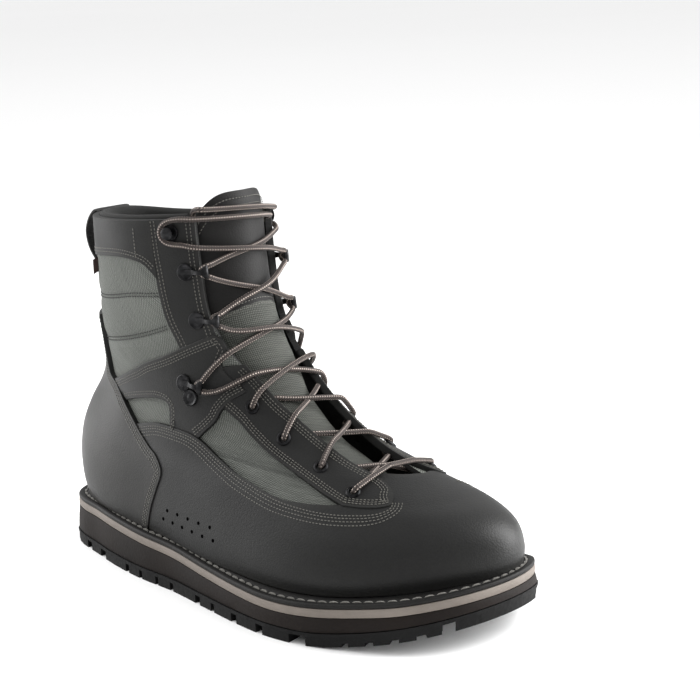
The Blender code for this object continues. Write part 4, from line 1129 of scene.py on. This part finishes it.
def make_tongue():
    """Padded tongue: leather at the top, nylon below, with a rounded bound edge."""
    rows, columns = 126, 56
    c = np.linspace(-1, 1, columns)[None]
    rise = np.linspace(0, 1, rows)[:, None]
    line = np.array(sorted(TONGUE_SEAM))
    across = np.broadcast_to(c * TONGUE_REACH, (rows, columns))
    seam_up = np.interp(c * TONGUE_REACH, line[:, 0], line[:, 1])
    top_up = tongue_top(c)
    share = TONGUE_SEAM_ROW
    up = np.where(rise <= share, TONGUE_LOW + (seam_up - TONGUE_LOW) * rise / share,
                  seam_up + (top_up - seam_up) * (rise - share) / (1 - share))
    places = np.stack((across * np.interp(up, *zip(*TONGUE_HALF)) / TONGUE_REACH, up), -1)
    base = tongue_height(places)
    points, _ = last(places, base)
    seam = nearness(points, [TONGUE_SEAM], 3.0)
    side = 1 - np.clip((1 - np.abs(c)) / 0.18, 0, 1) ** 0.5
    top = 1 - np.clip((1 - rise) / 0.05, 0, 1) ** 0.5
    round_off = np.maximum(np.broadcast_to(side, up.shape), np.broadcast_to(top, up.shape))
    creases = 0.4 * np.sin(up * 75 + 1.5 * np.sin(places[..., 0] * 18)) * np.clip((0.80 - up) / 0.1, 0, 1)
    outer, _ = last(places, base - 0.7 * seam - 0.9 * round_off + creases)
    inner, _ = last(places, base - 3.9 + 1.2 * round_off)
    uv = arc_lengths(outer).reshape(-1, 2)
    points = np.concatenate((outer.reshape(-1, 3), inner.reshape(-1, 3)))
    faces = list(grid_quads(rows, columns)) + list(grid_quads(rows, columns, start=rows * columns)[:, ::-1])
    upper_part = np.broadcast_to((rise[:-1] + rise[1:]) / 2 > share, (rows - 1, columns - 1))
    indices = list(np.where(upper_part, 0, 1).ravel()) + [2] * ((rows - 1) * (columns - 1))
    loop, _ = boundary(rows, columns)
    size = rows * columns
    for k, a in enumerate(loop):
        b = loop[(k + 1) % len(loop)]
        faces.append((a, size + a, size + b, b))
        indices.append(0)
    tongue = add_mesh("padded_tongue", points, faces, [tongue_leather_painted_shade, tongue_nylon_painted_shade, lining],
                      ["tongue"], indices=indices, uv=np.concatenate((uv, uv)))
    parts = Parts()
    for shift in (-1.4, 1.6):
        add_stitches(parts, TONGUE_SEAM, tongue_height(curve(TONGUE_SEAM, 400)) - 0.1, shift=shift)
    for inset in (0.013, 0.026):
        edge = [(at * TONGUE_REACH * (1 - inset * 2.2), tongue_top(at) - inset)
                for at in np.linspace(0.95, -0.95, 25)]
        add_stitches(parts, edge, tongue_height(curve(edge, 400)) + 0.3)
    parts.finish("tongue_stitching", [thread], "leather")


# Section of the collar's padding: out in mm from the last, and height in mm over the collar's edge
PADDING = ((-2.9, -17.0), (-2.9, -2.0), (-2.2, -0.6), (-2.0, 0.4), (-3.2, 1.3), (-5.0, 1.2), (-6.6, 0.0),
           (-7.2, -2.5), (-7.6, -6.0), (-7.2, -12.0), (-5.2, -16.5))


def make_collar_padding():
    """Padded roll inside and over the collar's edge."""
    columns = 150
    around = np.linspace(0.142, 1 - 0.142, columns)
    section = through([(o, h, 0.0) for o, h in PADDING], 0.9)[:, :2]
    rows = []
    for out, height in section:
        up = collar_top(around) + height * MM / UPPER_HEIGHT
        puff = 0.35 * np.sin(around * 2 * math.pi * 9) if out < -4 else 0.0
        places = np.stack((around, up), -1)
        rows.append(last(places, np.full(columns, out) + puff)[0])
    points = np.stack(rows)
    faces = list(grid_quads(*points.shape[:2]))
    ends = [tuple(k * columns for k in range(len(rows))),
            tuple(k * columns + columns - 1 for k in range(len(rows)))[::-1]]
    piece = add_mesh("collar_roll", points.reshape(-1, 3), faces + ends, [lining],
                     ["collar_padding"], uv=arc_lengths(points).reshape(-1, 2))


# Hooks and eyelets

def frame_at(place, out, towards):
    """Matrix on the last: Z out of the face, X towards another place."""
    place, towards = np.asarray(place, float), np.asarray(towards, float)
    origin, normal = last(place[None], np.array([out]))
    goal, _ = last(towards[None], np.array([out]))
    z = Vector(normal[0])
    x = Vector(goal[0] - origin[0])
    x = (x - z * x.dot(z)).normalized()
    y = z.cross(x)
    matrix = Matrix((x, y, z)).transposed().to_4x4()
    matrix.translation = Vector(origin[0])
    return matrix


def lathe(profile, sides=40):
    """Points and faces of a turned shape from (radius, height) in mm."""
    angles = np.linspace(0, 2 * math.pi, sides, endpoint=False)
    points = np.array([[(r * math.cos(a), r * math.sin(a), h) for a in angles] for r, h in profile]) * MM
    return points.reshape(-1, 3), ring_quads(len(profile), sides)


def placed(matrix, points):
    """Points moved by a matrix."""
    m = np.array(matrix)
    return points @ m[:3, :3].T + m[:3, 3]


def add_turned(parts, matrix, profile, sides=40):
    """A turned shape, put in its place."""
    points, faces = lathe(profile, sides)
    parts.add(placed(matrix, points), faces)


# Turned shapes as (radius, height) in mm
EYELET_SECTION = ((2.0, -1.6), (2.0, 0.4), (2.25, 0.95), (2.8, 1.25), (3.4, 1.1), (3.9, 0.6), (4.05, 0.0))
# A black disc down in each eyelet: painted shade in its hole
EYELET_HOLE = ((2.1, -0.2), (0.01, -0.25))
DISC_SECTION = ((4.7, -0.5), (4.75, 0.45), (4.5, 0.8), (4.0, 0.95), (3.3, 0.75), (2.9, 0.72), (1.5, 0.95),
                (0.01, 1.05))
RIVET_SECTION = ((4.6, -0.5), (4.65, 0.5), (4.2, 0.95), (3.6, 0.7), (3.2, 0.35), (2.2, 0.3), (1.8, 0.7),
                 (0.01, 0.85))
STUD_SECTION = ((2.3, 0.8), (2.1, 3.4), (2.8, 4.1), (3.3, 4.4), (3.4, 4.9), (2.5, 5.4), (0.01, 5.6))
# Height of a hook's disc over its leather, in mm
DISC_SEAT = 0.4
# A hook's strip from its disc towards the throat: along, rise and half width in mm
STRIP = ((0.0, 0.9, 1.8), (4.2, 1.1, 1.7), (5.8, 2.2, 1.4), (7.4, 3.7, 1.3), (9.6, 4.7, 1.3),
         (11.8, 4.9, 1.6), (13.0, 4.9, 3.0), (14.2, 4.5, 3.6), (14.7, 3.4, 3.6), (14.0, 2.3, 3.2))
STRIP_THICK = 1.0
# Rounded section of a strip: shares of half its thickness and of its half width
STRIP_RING = ((-1, -0.86), (-0.4, -1), (0.4, -1), (1, -0.86), (1, 0.86), (0.4, 1), (-0.4, 1), (-1, 0.86))


def strip_mesh(table, thick):
    """A bent strip of metal along a table of (along, rise, half width)."""
    fine = through(table, 0.5)
    along = directions(fine[:, :2])
    normal = np.stack((-along[:, 1], along[:, 0]), -1) * thick / 2
    rings = []
    for share_n, share_w in STRIP_RING:
        place = fine[:, :2] + normal * share_n
        rings.append(np.stack((place[:, 0], fine[:, 2] * share_w, place[:, 1]), -1))
    points = np.stack(rings, 1) * MM
    return points.reshape(-1, 3), rod_faces(len(fine), len(STRIP_RING), flipped=True)


def hook_seat(k):
    """Height of a hook's disc over the last in mm: the lowest one sits on the strap."""
    return (STRAP if k == 0 else STAY) + DISC_SEAT


def hook_frame(side, k):
    """Matrix of a hook: Z out of its leather, X towards the throat."""
    around, up = HOOKS[k]
    return frame_at((side * around, up), hook_seat(k), (0.0, up + 0.005))


def make_hardware():
    """Turned eyelets, bent lace hooks and the studs at the top, on both sides."""
    for side, word in ((1, "lateral"), (-1, "medial")):
        rings, holes = Parts(), Parts()
        for (around, up) in EYELETS:
            seat = float(stay_height(up)) + 0.1
            matrix = frame_at((side * around, up), seat, (0.0, up))
            points, faces = lathe(EYELET_SECTION)
            rings.add(placed(matrix, points), [f[::-1] for f in faces])
            add_turned(holes, matrix, EYELET_HOLE)
        rings.finish("eyelets_" + word, [metal], "metal",
                     ["eyelet_%s_%d" % (word, k) for k in (1, 2, 3, 4)], 60)
        holes.finish("eyelet_holes_" + word, [painted_hole_shade], "metal")
        parts = Parts()
        for k, (around, up) in enumerate(HOOKS):
            matrix = hook_frame(side, k)
            add_turned(parts, matrix, DISC_SECTION)
            if k < 3:
                points, faces = strip_mesh(STRIP, STRIP_THICK)
                parts.add(placed(matrix, points), faces)
            else:
                add_turned(parts, matrix, STUD_SECTION)
            if k == 0:
                below = frame_at((side * (around + 0.004), up - 0.042), hook_seat(k), (0.0, up))
                add_turned(parts, below, RIVET_SECTION)
        parts.finish("hooks_" + word, [metal], "metal",
                     ["hook_%s_%d" % (word, k) for k in (1, 2, 3, 4)], 50)


# Laces

LACE_RADIUS = 1.5
# Around a hook's neck, in mm from its disc: towards the throat, up, and out of its seat
HOOK_TURN = ((15.0, -2.6, 3.0), (11.8, -2.3, 2.1), (9.6, -1.4, 1.8), (9.6, 1.4, 1.8), (11.8, 2.5, 2.3),
             (15.0, 3.4, 3.3))
STUD_TURN = ((8.0, -6.9, 2.7), (1.0, -6.5, 2.3), (-4.0, -4.3, 2.3), (-5.8, 0.0, 2.4), (-4.0, 4.5, 2.5),
             (1.0, 6.9, 2.8), (8.0, 7.4, 3.2))
# Where the lace goes over the throat's edge at the top and ends out of sight: around, up, and out in mm
LACE_END = ((0.118, 1.016, 1.0), (0.129, 1.013, -1.6), (0.134, 1.003, -4.6), (0.137, 0.990, -5.6))
MEDIAL_LACE_END = ((0.112, 0.982, 0.4), (0.132, 0.978, -2.2), (0.145, 0.970, -4.0))
# How much further up than its eyelet a lace passes under the throat's edge
UNDER_EDGE = 0.036


def lace_points(rows):
    """Points of rows (around, up, out)."""
    rows = np.array(rows, float)
    return last(rows[:, :2], rows[:, 2])[0]


def taut(t, lift):
    """Lift of a pulled cord over a lift that it has to clear: its upper hull."""
    kept = [0]
    for k in range(1, len(t)):
        while len(kept) > 1:
            a, b = kept[-2:]
            if (lift[b] - lift[a]) * (t[k] - t[b]) > (lift[k] - lift[b]) * (t[b] - t[a]):
                break
            kept.pop()
        kept.append(k)
    return np.interp(t, t[kept], lift[kept])


def strand(start, end, clear, count=25):
    """Pulled stretch of lace between two rows, lifted where a stay, a strap or the tongue is in its way."""
    start, end = np.asarray(start, float), np.asarray(end, float)
    t = np.linspace(0, 1, count)
    a, b = lace_points([start, end])
    chord = a + (b - a) * t[:, None]
    places = start[:2] + (end[:2] - start[:2]) * t[:, None]
    leather_top = stay_height(places[:, 1])
    leather_top = np.where(places[:, 1] > 0.60, np.maximum(leather_top, STRAP + 0.2), leather_top)
    on_leather = np.abs(places[:, 0]) > throat_half(places[:, 1]) * 0.85
    under = ((t < 0.5) & (start[2] < 0)) | ((t > 0.5) & (end[2] < 0))
    top = np.where(on_leather & ~under, leather_top, tongue_height(places))
    surface, normal = last(places, top + LACE_RADIUS + clear * np.sin(math.pi * t) ** 2)
    lift = np.maximum(np.sum((surface - chord) * normal, axis=1), 0.0)
    lift[[0, -1]] = 0.0
    return (chord + normal * taut(t, lift)[:, None])[1:-1]


def out_of_eyelet(side, k):
    """Lace from under an eyelet, up through it."""
    around, up = side * EYELETS[k][0], EYELETS[k][1]
    seat = float(stay_height(up))
    return [(around, up, -3.6), (around, up, 0.0), (around, up, seat + 1.0),
            (around * 0.965, up + 0.004, seat + LACE_RADIUS + 1.2)]


def into_eyelet(side, k):
    """Lace from the throat's edge on, under the stay to an eyelet."""
    around, up = side * EYELETS[k][0], EYELETS[k][1]
    under = up + UNDER_EDGE
    edge = (side * float(throat_half(under)) * 0.97, under, -1.6)
    return [edge, (around + (edge[0] - around) * 0.6, up + UNDER_EDGE * 0.6, -4.4), (around, up, -3.9)]


def hook_turn(side, k):
    """Points of the lace's turn around a hook, and its first and last rows (around, up, out)."""
    around, up = side * HOOKS[k][0], HOOKS[k][1]
    seat = hook_seat(k)
    matrix = hook_frame(side, k)
    table = np.array(STUD_TURN if k == 3 else HOOK_TURN)
    if k == 3 and side < 0:
        table = table * (1.0, 0.65, 1.0)
    step = np.array(((0.005, 0.0), (0.0, 0.005)))
    spread = last_bare((around, up) + step) - last_bare((around, up) - step)
    per_around, per_up = np.linalg.norm(spread, axis=1) / 0.01
    ends = [(around - side * along * MM / per_around, up + rise * MM / per_up, seat + out)
            for along, rise, out in table[[0, -1]]]
    return placed(matrix, table * (1, side, 1) * MM), ends[0], ends[1]


def half_lace(side, clear):
    """Points of one half of the lace, from the bar over the first eyelets to its end at the top."""
    first = out_of_eyelet(side, 0)
    middle = (0.020, EYELETS[0][1] + 0.108, 4.6)
    path = list(lace_points([middle])) + list(strand(middle, first[-1], 0.0, 7))
    path += list(lace_points(first[::-1]))
    leave = first[0]
    cross = -side
    for k in (1, 2, 3):
        under = into_eyelet(cross, k)
        path += list(strand(leave, under[0], clear)) + list(lace_points(under))
        out = out_of_eyelet(cross, k)
        path += list(lace_points(out))
        leave = out[-1]
        cross = -cross
    for k in range(4):
        turn, start, end = hook_turn(cross, k)
        path += list(strand(leave, start, clear)) + list(turn)
        leave = end
        cross = -cross
    over_edge = LACE_END if cross > 0 else MEDIAL_LACE_END
    ends = [(cross * around, up, out) for around, up, out in over_edge]
    path += list(strand(leave, ends[0], clear)) + list(lace_points(ends))
    return np.array(path)


def cord_path(points, step=0.9 * MM, rounds=9):
    """Evenly spaced points along a bent line, with its corners rounded."""
    runs = running_lengths(points)
    at = np.linspace(0, runs[-1], int(runs[-1] / step))
    path = np.stack([np.interp(at, runs, points[:, k]) for k in range(3)], -1)
    for _ in range(rounds):
        path[1:-1] = path[:-2] * 0.25 + path[1:-1] * 0.5 + path[2:] * 0.25
    return path


def make_laces():
    """Both halves of the round lace through the eyelets and around the hooks."""
    parts = Parts()
    for side, clear in ((1, 0.2), (-1, 2 * LACE_RADIUS + 0.3)):
        points, faces, uv = tube(cord_path(half_lace(side, clear)), LACE_RADIUS * MM, 14)
        parts.add(points, faces, uv)
    parts.finish("laces", [lace], "cord", ["lace_crossings"], 80)


# Trim

LOOP_HALF = 12.0
# The loop's line: share of the way up from its foot to the collar's edge, and mm out from the boot
LOOP_SHAPE = ((0.0, 0.4), (0.06, 2.0), (0.22, 6.2), (0.42, 9.0), (0.62, 9.6), (0.82, 7.4), (0.96, 4.0),
              (1.02, 1.2), (1.03, -1.2), (1.0, -2.6))
LOOP_COLUMNS = 13
# Section of the folded ribbon: out and across in mm
TAG_SHAPE = ((0.0, -0.35, 0.0), (1.8, -0.5, 0.0), (3.2, -0.55, 0.0), (3.8, 0.0, 0.0), (3.2, 0.55, 0.0),
             (1.8, 0.5, 0.0), (0.0, 0.35, 0.0))


def make_pull_loop():
    """Webbing loop at the back of the collar."""
    low, high = last(np.array(((0.5, 0.875), (0.5, 1.0))), np.array((COLLAR + 0.4, COLLAR + 0.4)))[0]
    path = through([(low[0] + (high[0] - low[0]) * t - out * MM, 0.0, low[2] + (high[2] - low[2]) * t)
                    for t, out in LOOP_SHAPE], 1.2 * MM)
    along = directions(path)
    normal = np.stack((-along[:, 2], np.zeros(len(path)), along[:, 0]), -1)
    across = np.linspace(-1, 1, LOOP_COLUMNS)
    rows = []
    for thick in (0.75, -0.75):
        for c in across:
            bow = thick * (1 - 0.35 * abs(c) ** 6)
            rows.append(path + normal * bow * MM + np.array((0.0, low[1] + c * LOOP_HALF * MM, 0.0)))
    order = list(range(LOOP_COLUMNS)) + list(range(2 * LOOP_COLUMNS - 1, LOOP_COLUMNS - 1, -1))
    points = np.stack([rows[k] for k in order], 1)
    width = np.array([c * LOOP_HALF * MM for c in across] + [c * LOOP_HALF * MM for c in across[::-1]])
    uv = np.stack(np.broadcast_arrays(width[None], running_lengths(path)[:, None]), -1)
    add_mesh("webbing_loop", points.reshape(-1, 3), rod_faces(*points.shape[:2]), [webbing],
             ["pull_loop"], uv=uv.reshape(-1, 2))


def make_side_tag():
    """Small folded ribbon under the collar band."""
    matrix = frame_at((0.380, 0.890), 0.2, (0.380, 0.91))
    points = []
    for along in np.linspace(-4.2, 4.2, 9):
        points.append([(along - 0.55 * out, across + 0.15 * math.sin(along), out)
                       for out, across, _ in through(TAG_SHAPE, 0.5)])
    points = np.array(points) * MM
    faces = list(grid_quads(*points.shape[:2]))
    add_mesh("ribbon_tag", placed(matrix, points.reshape(-1, 3)), faces, [tag_ribbon], ["side_tag"],
             uv=arc_lengths(points).reshape(-1, 2))


# Rows of vent holes on each side: first and last place, and how many
VENTS = (((0.289, 0.130), (0.247, 0.140), 5), ((0.294, 0.095), (0.244, 0.105), 6))
VENT_SECTION = ((1.05, 0.02), (1.0, 0.12), (0.6, 0.06), (0.01, 0.02))


def make_vents():
    """Small punched holes low on the vamp, each a black disc of painted shade."""
    parts = Parts()
    for start, end, count in VENTS:
        for side in (1, -1):
            for t in np.linspace(0, 1, count):
                place = np.array(start) + (np.array(end) - np.array(start)) * t
                matrix = frame_at((side * place[0], place[1]), VAMP + 0.02, (0.0, place[1]))
                add_turned(parts, matrix, VENT_SECTION, 14)
    parts.finish("vent_holes", [painted_hole_shade], "leather")


# Studio

# Half the floor's side in metres, and its two greys
FLOOR_REACH = 30
FLOOR_GREYS = ((0.92, 0.92, 0.92, 1), (0.94, 0.94, 0.94, 1))
# Soft boxes at the sides: metres to the right, towards the camera and up, and watts
SIDE_BOXES = (("left box", -1.1, -0.5, 0.5, 18.0), ("right box", 1.15, -0.05, 0.4, 38.0))
SIDE_BOX_SIZE = (0.8, 1.3)
OVERHEAD_HEIGHT, OVERHEAD_SIZE, OVERHEAD_WATTS = 3.0, (8.0, 8.0), 40.0
SKY_STRENGTH = 0.95


def make_camera():
    """The photograph's camera."""
    azimuth, elevation, roll = (math.radians(v) for v in (AZIMUTH, ELEVATION, ROLL))
    back = np.array((math.sin(azimuth) * math.cos(elevation), -math.cos(azimuth) * math.cos(elevation),
                     math.sin(elevation)))
    right = np.array((math.cos(azimuth), math.sin(azimuth), 0.0))
    up = np.cross(back, right)
    level = math.cos(roll) * right + math.sin(roll) * up
    upright = -math.sin(roll) * right + math.cos(roll) * up
    data = bpy.data.cameras.new("camera")
    data.sensor_width = SENSOR
    data.lens = FOCAL_PIXELS * SENSOR / PICTURE
    data.shift_x = (PICTURE / 2 - CENTRE_PIXEL[0]) / PICTURE
    data.shift_y = (CENTRE_PIXEL[1] - PICTURE / 2) / PICTURE
    camera = bpy.data.objects.new("camera", data)
    bpy.context.scene.collection.objects.link(camera)
    matrix = Matrix((level, upright, back)).transposed().to_4x4()
    matrix.translation = Vector(AIM + back * DISTANCE + HEEL_BACK)
    camera.matrix_world = matrix
    bpy.context.scene.camera = camera
    return Vector(level), Vector(upright), Vector(back)


def add_light(name, place, aim, size, energy):
    """A soft box at a place, facing an aim."""
    data = bpy.data.lights.new(name, "AREA")
    data.shape, data.size, data.size_y, data.energy = "RECTANGLE", size[0], size[1], energy
    light = bpy.data.objects.new(name, data)
    bpy.context.scene.collection.objects.link(light)
    light.location = place
    light.rotation_euler = (aim - place).to_track_quat("-Z", "Y").to_euler()


def make_studio():
    """Pale floor, pale surroundings and soft boxes at both sides and above."""
    right, _, back = make_camera()
    mesh = bpy.data.meshes.new("floor")
    far = FLOOR_REACH
    mesh.from_pydata([(-far, -far, 0), (far, -far, 0), (far, far, 0), (-far, far, 0)], [], [(0, 1, 2, 3)])
    material, tree, shader = start_material("pale floor", 0.9, specular=0.1)
    patches = use(tree, PATCHES, Scale=0.4, Contrast=0.4).outputs["Patches"]
    tree.links.new(blend_colours(tree, patches, *FLOOR_GREYS), shader.inputs["Base Color"])
    mesh.materials.append(material)
    floor = bpy.data.objects.new("floor", mesh)
    bpy.context.scene.collection.objects.link(floor)
    aim = Vector((0.0, 0.0, 0.10))
    flat_right = Vector((right.x, right.y, 0)).normalized()
    flat_back = Vector((back.x, back.y, 0)).normalized()
    for name, to_right, to_camera, above, watts in SIDE_BOXES:
        place = aim + flat_right * to_right + flat_back * to_camera + Vector((0, 0, above))
        add_light(name, place, aim, SIDE_BOX_SIZE, watts)
    add_light("overhead", Vector((0.0, 0.0, OVERHEAD_HEIGHT)), aim, OVERHEAD_SIZE, OVERHEAD_WATTS)
    world = bpy.data.worlds.new("studio")
    bpy.context.scene.world = world
    world.use_nodes = True
    world.node_tree.nodes["Background"].inputs["Color"].default_value = (1.0, 1.0, 1.0, 1.0)
    world.node_tree.nodes["Background"].inputs["Strength"].default_value = SKY_STRENGTH
    bpy.context.scene.view_settings.view_transform = "Standard"


make_studio()
make_sole()
make_upper()
make_overlays()
make_stitching()
make_tongue()
make_collar_padding()
make_hardware()
make_laces()
make_pull_loop()
make_side_tag()
make_vents()
for node, finish in (("outsole", tread_rubber), ("insole", lining)):
    bpy.data.objects[node].data.materials.clear()
    bpy.data.objects[node].data.materials.append(finish)
